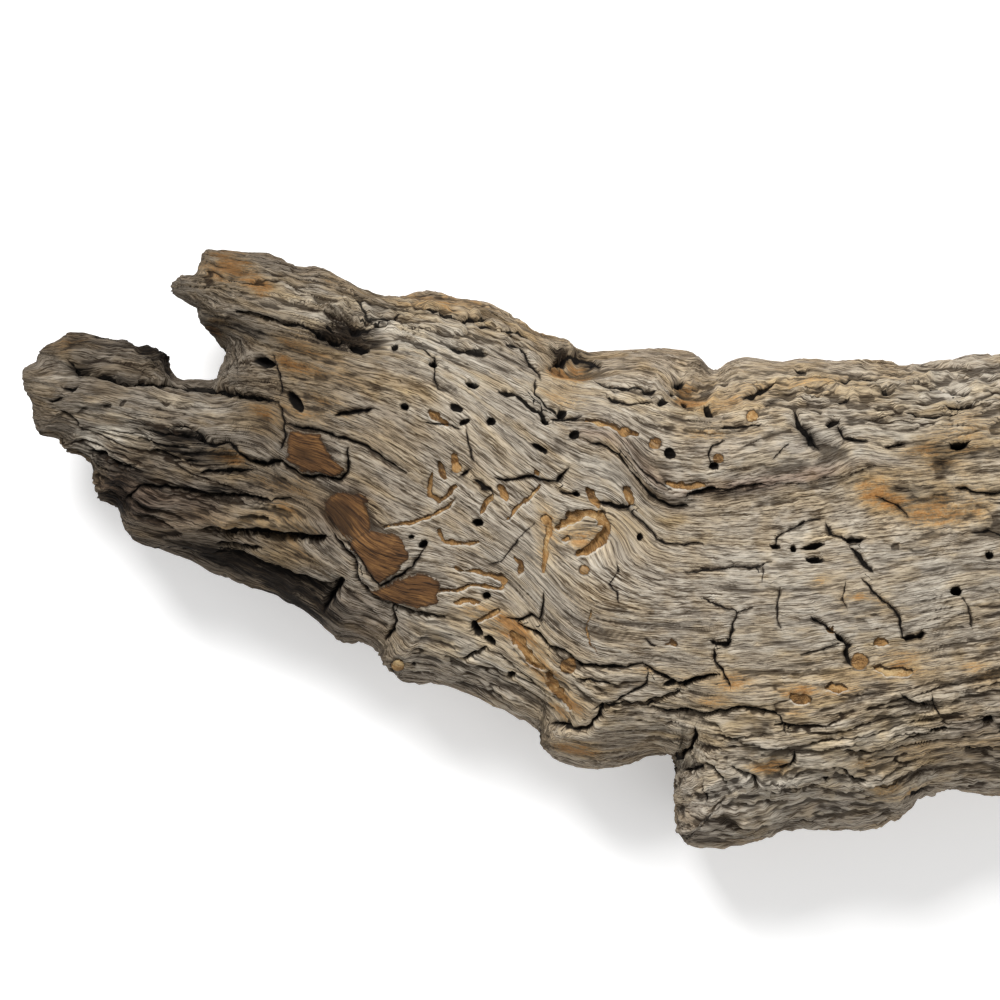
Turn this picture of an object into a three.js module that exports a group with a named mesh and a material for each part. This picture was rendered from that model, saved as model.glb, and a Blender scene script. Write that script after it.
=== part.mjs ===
// A length of weathered driftwood lying on its worn underside, one grown piece, in millimetres.
// +X runs along the grain from the forked end to the broken end, +Y across the broad face, +Z up.
// The skin is one closed loft: a plan outline with a height above and below it at every point.
import * as THREE from "three";

const WOOD_COLOUR = 0x9a8e80;
const WOOD_ROUGHNESS = 0.92;

const POINTS_ROUND = 28; // points round one section, half of them above the outline and half below
const FLANK = 62; // how far in from the outline the rounding of the flanks reaches
const STRAIGHT_TURN = 1 / 3; // where a section without a bend of its own has its first control point

// Sections from the tip of the long prong to the broken end. Each row is the point on the far edge and
// the point on the near edge, [x, y, x, y]. Round the fork a third point follows: there the section runs
// in along the short prong towards that point, then turns and crosses the trunk.
const SECTIONS = [
  [-318, 88.5, -318.5, 79],
  [-312, 93, -316, 71.5],
  [-310, 99, -313.5, 61.5],
  [-303.5, 104, -311, 56.5],
  [-296.5, 108, -302.5, 53.5],
  [-282.5, 105, -298.5, 48],
  [-270, 103, -289.5, 44],
  [-262.5, 100.5, -286, 34],
  [-257.5, 101, -282, 25],
  [-251.5, 98, -274, 21],
  [-248.5, 93.5, -270.5, 13],
  [-244, 87.5, -268, 8],
  [-235, 86, -262.5, 3.5],
  [-226.5, 84.5, -250, -2],
  [-223, 88.5, -237.5, -6.5, -225.5, 69.5],
  [-218.5, 99, -225, -12.5, -215.5, 85.5],
  [-226, 106.5, -221.5, -14, -204.5, 109],
  [-232, 113, -218.5, -15, -202, 113],
  [-233.5, 120, -215.5, -16.5, -199.5, 117],
  [-240.5, 124, -212.5, -18, -196.5, 121],
  [-247, 128.5, -209, -19.5, -193.5, 124.5],
  [-244, 135, -205.5, -21, -190.5, 128.5],
  [-234.5, 139, -201.5, -22, -187.5, 132.5],
  [-232, 146, -197.5, -23.5, -185.5, 136],
  [-228, 149, -193.5, -25, -183.5, 138.5],
  [-213.5, 149, -188.5, -28, -182, 139],
  [-197, 147, -183.5, -30, -181, 136.5],
  [-182.5, 141, -176.5, -34.5, -176.5, 120],
  [-173.5, 140.5, -169.5, -40, -170.5, 104],
  [-160, 134.5, -161.5, -45.5, -160, 80.5],
  [-150, 130, -151.5, -47],
  [-135, 127, -143.5, -51.5],
  [-117.5, 128, -139.5, -59.5],
  [-106.5, 125.5, -131.5, -66],
  [-95, 122.5, -115, -67],
  [-84, 118, -98.5, -73],
  [-72.5, 112, -80, -79.5],
  [-60, 106.5, -63.5, -89],
  [-50, 105, -61, -98],
  [-42.5, 99, -53.5, -105.5],
  [-30, 98, -37.5, -109.5],
  [-10, 99.5, -20, -106.5],
  [3.5, 99, -3.5, -102.5],
  [14.5, 96.5, 5.5, -107],
  [24.5, 89.5, 6, -113],
  [33.5, 93.5, 4.5, -122],
  [42.5, 95.5, 5, -132],
  [57.5, 94, 8, -145],
  [73.5, 96, 17.5, -148],
  [87.5, 94.5, 42.5, -147],
  [105, 93.5, 65, -139.5],
  [122.5, 91.5, 97.5, -140],
  [140, 91.5, 116, -133.5],
  [155, 95, 130, -122.5],
  [170, 96, 150, -121],
  [190, 97, 178, -122],
  [210, 93, 203, -118],
  [232, 88, 228, -112],
  [250, 76, 250, -104],
  [262, 60, 266, -88],
  [280, 48, 276, -70],
  [298, 36, 292, -54],
  [308, 20, 306, -38],
  [316, 4, 315, -22],
];
const LONG_PRONG_TIP = [-320, 84.5];
const BROKEN_TIP = [320, -8];

// Along the wood: [x, height of the outline above the ground, full rise above it, full drop below it].
// A drop deeper than the outline's height is worn off flat, which is what the wood lies on.
const HEIGHTS = [
  [-320, 66, 22, 22],
  [-280, 62, 30, 32],
  [-230, 58, 38, 38],
  [-170, 55, 46, 48],
  [-100, 52, 52, 60],
  [-20, 50, 58, 64],
  [90, 50, 64, 66],
  [200, 50, 62, 64],
  [260, 50, 54, 58],
  [320, 47, 40, 44],
];

// Broad swells and hollows of the upper face: [x, y, half-length, half-width, height].
const SWELLS = [
  [-235, 55, 70, 22, 5],
  [-160, 30, 60, 40, -4],
  [-60, 60, 60, 30, 4],
  [-40, 12, 26, 18, 5],
  [70, 15, 110, 34, -10],
  [60, 62, 90, 16, 4],
  [70, -70, 90, 26, 5],
  [40, -130, 45, 16, -14],
];

const lerp = THREE.MathUtils.lerp;

// Outline height, rise and drop at a place along the wood, on straight lines between the rows.
function heightsAt(x) {
  const last = HEIGHTS.length - 1;
  const next = HEIGHTS.findIndex((row, i) => i > 0 && (x <= row[0] || i === last));
  const [before, after] = [HEIGHTS[next - 1], HEIGHTS[next]];
  const share = THREE.MathUtils.clamp((x - before[0]) / (after[0] - before[0]), 0, 1);
  return [1, 2, 3].map((k) => lerp(before[k], after[k], share));
}

function swellAt(x, y) {
  const one = ([cx, cy, rx, ry, height]) =>
    height * Math.exp(-(((x - cx) / rx) ** 2) - ((y - cy) / ry) ** 2);
  return SWELLS.reduce((sum, swell) => sum + one(swell), 0);
}

// The plan line of one section, from its far edge to its near edge.
function planLine([farX, farY, nearX, nearY, turnX, turnY]) {
  const far = new THREE.Vector2(farX, farY);
  const near = new THREE.Vector2(nearX, nearY);
  const turn = turnX === undefined
    ? far.clone().lerp(near, STRAIGHT_TURN)
    : new THREE.Vector2(turnX, turnY);
  return new THREE.CubicBezierCurve(far, turn, turn.clone().lerp(near, 0.5), near);
}

const OUTLINE = [
  LONG_PRONG_TIP,
  ...SECTIONS.map(([x, y]) => [x, y]),
  BROKEN_TIP,
  ...SECTIONS.map((row) => [row[2], row[3]]).reverse(),
].map(([x, y]) => new THREE.Vector3(x, y, 0));

// Rounding of the flanks: 0 on the outline, 1 from FLANK inwards, on a quarter circle between.
function roundingAt(x, y) {
  const place = new THREE.Vector3(x, y, 0);
  const nearest = new THREE.Vector3();
  const side = new THREE.Line3();
  const distances = OUTLINE.map((corner, i) => {
    side.set(corner, OUTLINE[(i + 1) % OUTLINE.length]);
    return side.closestPointToPoint(place, true, nearest).distanceTo(place);
  });
  const inwards = Math.min(...distances, FLANK) / FLANK;
  return Math.sqrt(1 - (1 - inwards) ** 2);
}

// One closed ring of points: over the top from the far edge to the near edge, and back underneath.
function ring(section) {
  const line = planLine(section);
  return Array.from({ length: POINTS_ROUND }, (_, j) => {
    const angle = (2 * Math.PI * j) / POINTS_ROUND;
    const { x, y } = line.getPoint((1 - Math.cos(angle)) / 2);
    const [edge, rise, drop] = heightsAt(x);
    const rounding = roundingAt(x, y);
    const z = angle <= Math.PI
      ? edge + (rise + swellAt(x, y)) * rounding
      : edge - drop * rounding;
    return new THREE.Vector3(x, y, Math.max(z, 0));
  });
}

function tip([x, y]) {
  return new THREE.Vector3(x, y, heightsAt(x)[0]);
}

// Rings are joined by pairs of triangles, and each end is closed by a fan round its tip.
function loftedWood() {
  const rings = SECTIONS.map(ring);
  const points = [tip(LONG_PRONG_TIP), ...rings.flat(), tip(BROKEN_TIP)];
  const at = (i, j) => 1 + i * POINTS_ROUND + (j % POINTS_ROUND);
  const faces = [];
  for (let j = 0; j < POINTS_ROUND; j += 1) {
    faces.push(0, at(0, j + 1), at(0, j));
    faces.push(points.length - 1, at(rings.length - 1, j), at(rings.length - 1, j + 1));
    for (let i = 0; i < rings.length - 1; i += 1) {
      faces.push(at(i, j), at(i + 1, j + 1), at(i + 1, j));
      faces.push(at(i, j), at(i, j + 1), at(i + 1, j + 1));
    }
  }
  const geometry = new THREE.BufferGeometry().setFromPoints(points).setIndex(faces);
  geometry.computeBoundingBox();
  const { min, max } = geometry.boundingBox;
  geometry.translate(-(min.x + max.x) / 2, -(min.y + max.y) / 2, -min.z);
  geometry.computeVertexNormals();
  return geometry;
}

const wood = new THREE.MeshStandardMaterial({
  color: WOOD_COLOUR,
  roughness: WOOD_ROUGHNESS,
  metalness: 0,
});
const driftwood = new THREE.Mesh(loftedWood(), wood);
driftwood.name = "driftwood";

const group = new THREE.Group();
group.add(driftwood);

export default group;
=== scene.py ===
import math

import bpy
import numpy as np
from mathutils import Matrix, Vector


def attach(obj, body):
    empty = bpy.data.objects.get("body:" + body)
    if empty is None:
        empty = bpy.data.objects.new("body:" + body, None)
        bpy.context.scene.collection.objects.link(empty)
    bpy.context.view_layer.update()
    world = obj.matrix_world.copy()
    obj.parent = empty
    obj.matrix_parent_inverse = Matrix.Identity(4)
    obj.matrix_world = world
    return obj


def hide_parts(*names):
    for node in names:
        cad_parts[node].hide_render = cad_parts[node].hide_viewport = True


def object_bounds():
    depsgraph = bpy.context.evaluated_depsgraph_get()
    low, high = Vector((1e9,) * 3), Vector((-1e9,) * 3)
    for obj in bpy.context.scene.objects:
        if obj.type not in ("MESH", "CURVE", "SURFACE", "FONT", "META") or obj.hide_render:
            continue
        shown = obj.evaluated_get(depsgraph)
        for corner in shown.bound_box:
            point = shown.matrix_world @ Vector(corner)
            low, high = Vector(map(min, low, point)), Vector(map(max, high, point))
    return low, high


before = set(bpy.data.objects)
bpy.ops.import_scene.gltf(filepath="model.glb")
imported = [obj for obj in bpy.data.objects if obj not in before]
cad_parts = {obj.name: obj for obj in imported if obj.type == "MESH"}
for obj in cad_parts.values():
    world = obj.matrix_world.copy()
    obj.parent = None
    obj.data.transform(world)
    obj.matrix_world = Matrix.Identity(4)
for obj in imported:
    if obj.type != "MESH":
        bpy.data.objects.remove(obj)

cad_low, cad_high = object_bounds()


# ---- The body of the wood ------------------------------------------------------------------------------
# One grown length of trunk, forked at the left and broken at the right, lying on its worn underside.
# It is a closed skin: rings carried along the wood, each running over the top and back underneath.
# The tables are in millimetres.

COLUMNS = 1120            # rings along the wood
TOP_ROWS = 236            # points of a ring above the outline
UNDER_ROWS = 92           # points of a ring below it
FLANK = 62                # how far in from the outline the rounding of the flanks reaches
FLANK_WEIGHT = 0.62       # share of the points that a millimetre of steep flank gets
NARROWEST = 8             # a section is taken as at least this wide when its points are spread
UNSEEN_FROM = 172         # from here to the broken end the rings lie further apart
UNSEEN_SHARE = 0.62
END_SHARE = 0.0006        # share of the outline left free before the first ring and after the last
FADE_BELOW = 10           # how far below the outline the upper face's own relief has faded to nothing
FINE_STEPS = 6000         # places tried along the wood before the rings are spaced
PROFILE_STEPS = 700       # places tried across a section before its points are spaced

# Sections from the tip of the long prong to the broken end. Each row is the point on the far edge and
# the point on the near edge, and round the fork a third point where the section turns off the prong.
SECTIONS = [
    [-320, 84.5, -320, 84.5],
    [-318, 88.5, -318.5, 79],
    [-312, 93, -316, 71.5],
    [-310, 99, -313.5, 61.5],
    [-303.5, 104, -311, 56.5],
    [-296.5, 108, -302.5, 53.5],
    [-282.5, 105, -298.5, 48],
    [-270, 103, -289.5, 44],
    [-262.5, 100.5, -286, 34],
    [-257.5, 101, -282, 25],
    [-251.5, 98, -274, 21],
    [-248.5, 93.5, -270.5, 13],
    [-244, 87.5, -268, 8],
    [-235, 86, -262.5, 3.5],
    [-226.5, 84.5, -250, -2],
    [-223, 88.5, -237.5, -6.5, -225.5, 69.5],
    [-218.5, 99, -225, -12.5, -215.5, 85.5],
    [-226, 106.5, -221.5, -14, -204.5, 109],
    [-232, 113, -218.5, -15, -202, 113],
    [-233.5, 120, -215.5, -16.5, -199.5, 117],
    [-240.5, 124, -212.5, -18, -196.5, 121],
    [-247, 128.5, -209, -19.5, -193.5, 124.5],
    [-244, 135, -205.5, -21, -190.5, 128.5],
    [-234.5, 139, -201.5, -22, -187.5, 132.5],
    [-232, 146, -197.5, -23.5, -185.5, 136],
    [-228, 149, -193.5, -25, -183.5, 138.5],
    [-213.5, 149, -188.5, -28, -182, 139],
    [-197, 147, -183.5, -30, -181, 136.5],
    [-182.5, 141, -176.5, -34.5, -176.5, 120],
    [-173.5, 140.5, -169.5, -40, -170.5, 104],
    [-160, 134.5, -161.5, -45.5, -160, 80.5],
    [-150, 130, -151.5, -47],
    [-135, 127, -143.5, -51.5],
    [-117.5, 128, -139.5, -59.5],
    [-106.5, 125.5, -131.5, -66],
    [-95, 122.5, -115, -67],
    [-84, 118, -98.5, -73],
    [-72.5, 112, -80, -79.5],
    [-60, 106.5, -63.5, -89],
    [-50, 105, -61, -98],
    [-42.5, 99, -53.5, -105.5],
    [-30, 98, -37.5, -109.5],
    [-10, 99.5, -20, -106.5],
    [3.5, 99, -3.5, -102.5],
    [14.5, 96.5, 5.5, -107],
    [24.5, 89.5, 6, -113],
    [33.5, 93.5, 4.5, -122],
    [42.5, 95.5, 5, -132],
    [57.5, 94, 8, -145],
    [73.5, 96, 17.5, -148],
    [87.5, 94.5, 42.5, -147],
    [105, 93.5, 65, -139.5],
    [122.5, 91.5, 97.5, -140],
    [140, 91.5, 116, -133.5],
    [155, 95, 130, -122.5],
    [170, 96, 150, -121],
    [190, 97, 178, -122],
    [210, 93, 203, -118],
    [232, 88, 228, -112],
    [250, 76, 250, -104],
    [262, 60, 266, -88],
    [280, 48, 276, -70],
    [298, 36, 292, -54],
    [308, 20, 306, -38],
    [316, 4, 315, -22],
    [320, -8, 320, -8],
]

# Along the wood: [x, height of the outline above the ground, full rise above it, full drop below it].
HEIGHTS = np.array([
    [-320, 66, 22, 22],
    [-280, 62, 30, 32],
    [-230, 58, 38, 38],
    [-170, 55, 46, 48],
    [-100, 52, 52, 60],
    [-20, 50, 58, 64],
    [90, 50, 64, 66],
    [200, 50, 62, 64],
    [260, 50, 54, 58],
    [320, 47, 40, 44],
])

# Broad swells and hollows of the upper face: [x, y, half-length, half-width, height].
SWELLS = [
    [-235, 55, 70, 22, 5],
    [-160, 30, 60, 40, -4],
    [-60, 60, 60, 30, 4],
    [-40, 12, 26, 18, 5],
    [70, 15, 110, 34, -10],
    [60, 62, 90, 16, 4],
    [70, -70, 90, 26, 5],
    [40, -130, 45, 16, -14],
]


def curve_through(rows, place):
    """A smooth curve through the rows, by Catmull and Rom's cubic between each row and the next;
    place counts rows, so 2.5 is half-way from the third to the fourth."""
    first = np.clip(place.astype(int), 0, len(rows) - 2)
    share = (place - first)[:, None]
    before, here, after, beyond = (
        rows[np.clip(first + step, 0, len(rows) - 1)] for step in (-1, 0, 1, 2)
    )
    return 0.5 * (
        2 * here
        + (after - before) * share
        + (2 * before - 5 * here + 4 * after - beyond) * share ** 2
        + (3 * here - before - 3 * after + beyond) * share ** 3
    )


def section_lines():
    """The far edge, turn, second turn and near edge of every ring: each row of the table, with a turn a
    third of the way across where it states none, carried smoothly along at even steps of outline."""
    rows = []
    for row in SECTIONS:
        far, near = np.array(row[:2]), np.array(row[2:4])
        turn = np.array(row[4:]) if len(row) > 4 else far + (near - far) / 3
        rows.append(np.concatenate([far, near, turn]))
    rows = np.array(rows, float)
    fine = np.linspace(0, len(rows) - 1, FINE_STEPS)
    path = curve_through(rows, fine)
    steps = np.hypot(*np.diff(path[:, :2], axis=0).T) + np.hypot(*np.diff(path[:, 2:4], axis=0).T)
    steps *= np.where(path[1:, 0] > UNSEEN_FROM, UNSEEN_SHARE, 1.0)
    travelled = np.concatenate([[0], np.cumsum(steps)])
    ends = END_SHARE * travelled[-1]
    wanted = np.linspace(ends, travelled[-1] - ends, COLUMNS)
    path = curve_through(rows, np.interp(wanted, travelled, fine))
    far, near, turn = path[:, :2], path[:, 2:4], path[:, 4:]
    return far, turn, (turn + near) / 2, near


def flank_height(inwards):
    """Rounding of the flanks: 0 on the outline and 1 from FLANK inwards, on a quarter circle between."""
    share = np.clip(inwards / FLANK, 0, 1)
    return np.sqrt(1 - (1 - share) ** 2)


def shares_across(width, count):
    """Where a ring's points lie between its two edges, at even steps over the skin's own profile."""
    fine = (1 - np.cos(np.linspace(0, math.pi, PROFILE_STEPS))) / 2
    rise = FLANK * FLANK_WEIGHT * flank_height(np.minimum(fine, 1 - fine) * width)
    along = np.concatenate([[0], np.cumsum(np.hypot(np.diff(fine) * width, np.diff(rise)))])
    return np.interp(np.linspace(0, along[-1], count + 1), along, fine)


def across(lines, count):
    """Points of every section line, by Bezier's cubic on its four control points."""
    far, turn, second, near = (line[:, None, :] for line in lines)
    widths = np.hypot(*(lines[3] - lines[0]).T)
    share = np.array([shares_across(max(width, NARROWEST), count) for width in widths])[:, :, None]
    rest = 1 - share
    return (far * rest ** 3 + 3 * turn * share * rest ** 2
            + 3 * second * share ** 2 * rest + near * share ** 3)


def distance_to_lines(points, starts, ends):
    """Distance from each point to the nearest of the straight lines."""
    along = ends - starts
    square = np.maximum((along ** 2).sum(1), 1e-9)
    nearest = np.full(len(points), np.inf)
    for start, step, size in zip(starts, along, square):
        away = points - start
        share = np.clip(away @ step / size, 0, 1)
        nearest = np.minimum(nearest, np.hypot(*(away - share[:, None] * step).T))
    return nearest


def inwards_of(plan, outline, skip=4):
    """Distance in from the outline, worked out at every fourth ring and point and spread between."""
    columns = np.unique(np.append(np.arange(0, plan.shape[0], skip), plan.shape[0] - 1))
    rows = np.unique(np.append(np.arange(0, plan.shape[1], skip), plan.shape[1] - 1))
    coarse = plan[np.ix_(columns, rows)]
    found = distance_to_lines(coarse.reshape(-1, 2), outline, np.roll(outline, -1, axis=0))
    found = found.reshape(coarse.shape[:2])
    found[:, 0] = found[:, -1] = 0
    every_row = np.array([np.interp(np.arange(plan.shape[1]), rows, line) for line in found])
    return np.array([np.interp(np.arange(plan.shape[0]), columns, line) for line in every_row.T]).T


def heights_at(x):
    """Height of the outline, full rise above it and full drop below it, at places along the wood."""
    return [np.interp(x, HEIGHTS[:, 0], HEIGHTS[:, k]) for k in (1, 2, 3)]


lines = section_lines()
outline = np.concatenate([lines[0][::3], lines[3][::-3]])
top_plan = across(lines, TOP_ROWS)
under_plan = across(lines, UNDER_ROWS)[:, ::-1][:, 1:-1]
top_in = inwards_of(top_plan, outline)
under_in = inwards_of(under_plan, outline)

top_x, top_y = top_plan[..., 0], top_plan[..., 1]
edge, rise, _ = heights_at(top_x)
swell = sum(
    height * np.exp(-((top_x - x) / half_length) ** 2 - ((top_y - y) / half_width) ** 2)
    for x, y, half_length, half_width, height in SWELLS
)
top_z = edge + (rise + swell) * flank_height(top_in)
edge, _, drop = heights_at(under_plan[..., 0])
under_z = edge - drop * flank_height(under_in)

plan = np.concatenate([top_plan, under_plan], axis=1)
base = np.dstack([plan, np.concatenate([top_z, under_z], axis=1)])
inwards = np.concatenate([top_in, under_in], axis=1)
shape = base.shape[:2]
x, y, z = (base[..., k] for k in range(3))
upper = np.zeros(shape)
upper[:, :TOP_ROWS + 1] = 1
level = np.concatenate([top_z - heights_at(top_x)[0], under_z - edge], axis=1)
facing_up = np.clip(1 + level / FADE_BELOW, 0, 1)


def outward(points):
    """Outward direction at every point of the rings, from the steps to the neighbours on both sides."""
    along = np.gradient(points, axis=0)
    round_ring = np.roll(points, -1, axis=1) - np.roll(points, 1, axis=1)
    normal = np.cross(round_ring, along)
    return normal / np.maximum(np.linalg.norm(normal, axis=2, keepdims=True), 1e-9)


out = outward(base)
assert out[COLUMNS // 2, TOP_ROWS // 2, 2] > 0, "the skin is inside out"


# ---- The grain -----------------------------------------------------------------------------------------
# The fibres run down from the fork, arch over the big knot and level out towards the broken end.
# Every relief and every colour streak follows them. They are given as guide lines from the far edge
# to beyond the near edge, and stretched noise is laid along them.

# Each guide is [the fibre's number, then the places that it passes]; the numbers are about millimetres.
GUIDES = [
    [-150, (-320, -26), (-282, -41), (-232, -58), (-182, -81), (-132, -110), (-92, -126), (-52, -141),
     (-12, -151), (68, -146), (118, -138), (168, -128), (320, -110)],
    [-110, (-320, 14), (-282, 4), (-232, -12), (-182, -33), (-132, -58), (-92, -74), (-52, -97),
     (-32, -106), (-12, -110), (18, -113), (68, -108), (118, -98), (168, -91), (320, -72)],
    [-52, (-320, 60), (-282, 54), (-250, 46), (-220, 38), (-190, 28), (-170, 17), (-157, 7), (-145, -1),
     (-132, -6), (-120, -6), (-105, -9), (-87, -15), (-78, -20), (-70, -29), (-62, -39), (-52, -48),
     (-42, -54), (-32, -57), (-12, -58), (18, -62), (68, -58), (118, -50), (168, -42), (320, -28)],
    [-6, (-320, 88), (-275, 86), (-243, 83), (-214, 78), (-192, 72), (-170, 65), (-150, 57), (-132, 46),
     (-117, 36), (-100, 24), (-87, 14), (-72, 4), (-62, -5), (-55, -13), (-48, -20), (-40, -26),
     (-30, -30), (-16, -32), (18, -32), (68, -30), (118, -23), (168, -14), (320, -2)],
    [30, (-320, 112), (-250, 110), (-200, 104), (-175, 98), (-157, 95), (-137, 90), (-117, 83),
     (-100, 72), (-87, 61), (-72, 50), (-58, 39), (-46, 31), (-36, 25), (-26, 20), (-16, 12), (-6, 5),
     (4, 2), (18, 1), (68, 0), (118, 5), (168, 10), (320, 22)],
    [60, (-320, 145), (-250, 128), (-212, 118), (-190, 113), (-175, 110), (-157, 107), (-132, 103),
     (-117, 97), (-100, 88), (-82, 78), (-65, 69), (-52, 62), (-42, 59), (-32, 57), (-25, 52), (-20, 46),
     (-15, 39), (-8, 31), (0, 28), (18, 28), (40, 31), (68, 36), (104, 43), (118, 45), (168, 50),
     (320, 55)],
    [110, (-320, 166), (-282, 160), (-232, 149), (-182, 140), (-132, 127), (-92, 120), (-52, 104),
     (-32, 99), (-12, 99), (18, 95), (68, 95), (118, 92), (168, 95), (320, 98)],
]
# Knots and twists that the fibres bend round: [x, y, half-length, half-width, how far they are pushed].
KNOTS = [
    [-34, 8, 16, 16, -10],
    [8, 82, 13, 13, 14],
    [-47, 90, 17, 17, 7],
    [92, 52, 13, 13, -6],
    [-205, 48, 18, 18, -8],
    [-185, 60, 11, 11, 5],
    [-180, 19, 30, 11, -8],
]


def fibre_number(x, y):
    """Which fibre passes a place: the guides' numbers, in proportion between one guide and the next,
    shifted near each knot by a bell-shaped push."""
    places = np.linspace(-330, 330, 661)
    kernel = np.hanning(17) / np.hanning(17).sum()
    passes = []
    for fibre, *points in GUIDES:
        straight = np.interp(places, *np.array(points, float).T)
        smooth = np.convolve(np.pad(straight, 8, mode="edge"), kernel, mode="valid")
        passes.append((fibre, np.interp(x, places, smooth)))
    number = passes[0][0] + (y - passes[0][1])
    for (low, y_low), (high, y_high) in zip(passes, passes[1:]):
        share = (y - y_low) / (y_high - y_low)
        number = np.where(share > 0, low + (high - low) * share, number)
    above = y - passes[-1][1]
    number = np.where(above > 0, passes[-1][0] + above, number)
    for knot_x, knot_y, half_length, half_width, push in KNOTS:
        away = ((x - knot_x) / half_length) ** 2 + ((y - knot_y) / half_width) ** 2
        number = number + push * np.exp(-away)
    return number


lattice_order = np.random.default_rng(31).permutation(256)
lattice_slopes = np.random.default_rng(32).normal(size=(256, 3))
lattice_slopes /= np.linalg.norm(lattice_slopes, axis=1, keepdims=True)


def noise(a, b, c, seed=0):
    """Smooth noise of about -1 to 1 in three directions: a random slope at every whole-number place,
    blended between its eight neighbours with the curve 6t^5 - 15t^4 + 10t^3."""
    a, b, c = a + 17.3 * seed, b + 31.7 * seed, c - 11.9 * seed
    cells = [np.floor(value).astype(int) for value in (a, b, c)]
    parts = [value - cell for value, cell in zip((a, b, c), cells)]
    fades = [part ** 3 * (part * (part * 6 - 15) + 10) for part in parts]
    total = 0
    for i in (0, 1):
        for j in (0, 1):
            for k in (0, 1):
                order = lattice_order[(cells[0] + i) & 255]
                order = lattice_order[(order + cells[1] + j) & 255]
                slope = lattice_slopes[lattice_order[(order + cells[2] + k) & 255]]
                value = (slope[..., 0] * (parts[0] - i) + slope[..., 1] * (parts[1] - j)
                         + slope[..., 2] * (parts[2] - k))
                weight = ((fades[0] if i else 1 - fades[0]) * (fades[1] if j else 1 - fades[1])
                          * (fades[2] if k else 1 - fades[2]))
                total = total + weight * value
    return total * 1.6


wander_x = 1.2 * noise(x / 12, y / 12, z / 12, 1) + 0.9 * noise(x / 4, y / 4, z / 4, 2)
wander_y = 1.2 * noise(x / 12, y / 12, z / 12, 3) + 0.9 * noise(x / 4, y / 4, z / 4, 4)
# The grain's own coordinates: along the fibres, across them, and into the wood. Down the flanks the
# fibres go on being counted, so that the streaks stay as narrow there as on the face.
along = x + 0.25 * y
edge, rise, _ = heights_at(x)
down_the_flank = 0.8 * (edge + rise - z) * out[..., 1]
fibre = fibre_number(x, y) + down_the_flank + 1.1 * noise(x / 30, y / 12, z / 12, 5)
depth_in_wood = 0.15 * z + 0.85 * np.minimum(level, 0) + 0.8 * noise(x / 30, y / 12, z / 12, 6)


def grain_noise(length, width, seed):
    """Noise drawn out along the fibres: length along them, width across them, in millimetres."""
    return noise(along / length, fibre / width, depth_in_wood / width, seed)


def bell(cx, cy, half_length, half_width, tilt=0.0):
    """An oval patch on the upper face: 1 at its middle, fading to nothing; tilt in degrees."""
    turn = math.radians(tilt)
    forward = (x - cx) * math.cos(turn) + (y - cy) * math.sin(turn)
    sideways = -(x - cx) * math.sin(turn) + (y - cy) * math.cos(turn)
    return np.exp(-(forward / half_length) ** 2 - (sideways / half_width) ** 2) * facing_up


def smooth_step(low, high, value):
    """0 up to low and 1 from high on, with the curve 3t^2 - 2t^3 between; low may be the larger."""
    share = np.clip((value - low) / (high - low), 0, 1)
    return share * share * (3 - 2 * share)


# Where the wood has weathered into loose plates: [x, y, half-length, half-width, tilt, how much].
FLAKY = [
    [120, 76, 120, 20, 4, 1.0],
    [95, -88, 110, 26, 6, 1.0],
    [60, -128, 70, 22, 8, 0.9],
    [-235, 42, 55, 24, -18, 1.0],
    [-205, 14, 55, 18, -14, 1.0],
    [-195, 128, 55, 16, -14, 0.8],
    [-110, 113, 45, 12, -12, 0.9],
    [-185, 85, 34, 18, -16, 0.7],
    [-262, 96, 34, 8, -8, 0.8],
    [-285, 40, 20, 12, -40, 0.8],
    [150, -40, 40, 30, 8, 0.5],
    [-120, -50, 50, 18, -26, 0.5],
    [-60, -70, 40, 20, -24, 0.7],
    [240, 0, 60, 110, 0, 0.9],
    [150, 20, 34, 14, 0, 0.5],
    [-156, 106, 16, 9, -10, 1.0],
]
FLAKY_EVERYWHERE = 0.12
FLAKY_UNDERNEATH = 0.35
flaky = np.clip(FLAKY_EVERYWHERE + sum(much * bell(*place) for *place, much in FLAKY), 0, 1)
flaky = np.maximum(flaky, FLAKY_UNDERNEATH * (1 - facing_up))


def shingles(spacing, thickness, length, seed):
    """Weathered plates lying over each other like shingles: across the fibres the height climbs fast
    over a plate's broken edge and falls slowly back along its face; thickness comes and goes."""
    drift = noise(along / length, fibre / (spacing * 1.6), depth_in_wood / spacing, seed)
    count = fibre / spacing + 1.5 * drift + 0.16 * noise(x / 7, y / 5, z / 5, seed + 2)
    part = count - np.floor(count)
    broken = max(0.08, 1.1 / spacing)      # share of the spacing that the broken edge takes
    plate = np.where(part < broken, part / broken, 1 - (part - broken) / (1 - broken))
    here = smooth_step(-0.25, 0.45, noise(along / (length * 0.8), np.floor(count) * 3.7,
                                          depth_in_wood / 60, seed + 1))
    return thickness * plate * here


# Broad unevenness comes first, then plates from large to small, raised fibres, and the finest grain.
fine_share = 0.35 + 0.65 * facing_up      # the worn underside keeps little of the fine relief
relief = 1.9 * noise(x / 46, y / 26, z / 26, 7)
relief += 1.2 * grain_noise(46, 11, 8)
relief += flaky * (shingles(17, 4.2, 42, 10) + shingles(8, 1.8, 26, 13) - 2.0)
relief += (0.35 + 0.65 * flaky) * shingles(4.4, 1.1, 20, 16) * fine_share
relief += (0.45 + 0.25 * flaky) * (1 - np.abs(grain_noise(30, 3.6, 19)) * 2)
relief += fine_share * (0.36 * grain_noise(18, 1.9, 20) + flaky * 0.5 * grain_noise(9, 2.4, 23))
# Along both long edges the plates have crumbled into knobs and pits.
crumbled = flaky * np.clip(smooth_step(35, 70, y) + smooth_step(-92, -120, y), 0, 1)
relief += (0.4 * flaky + 0.7 * crumbled) * noise(x / 5, y / 4, z / 4, 22)
relief += crumbled * 1.7 * (0.5 - np.abs(noise(x / 14, y / 9, z / 9, 24)) * 1.6)

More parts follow.
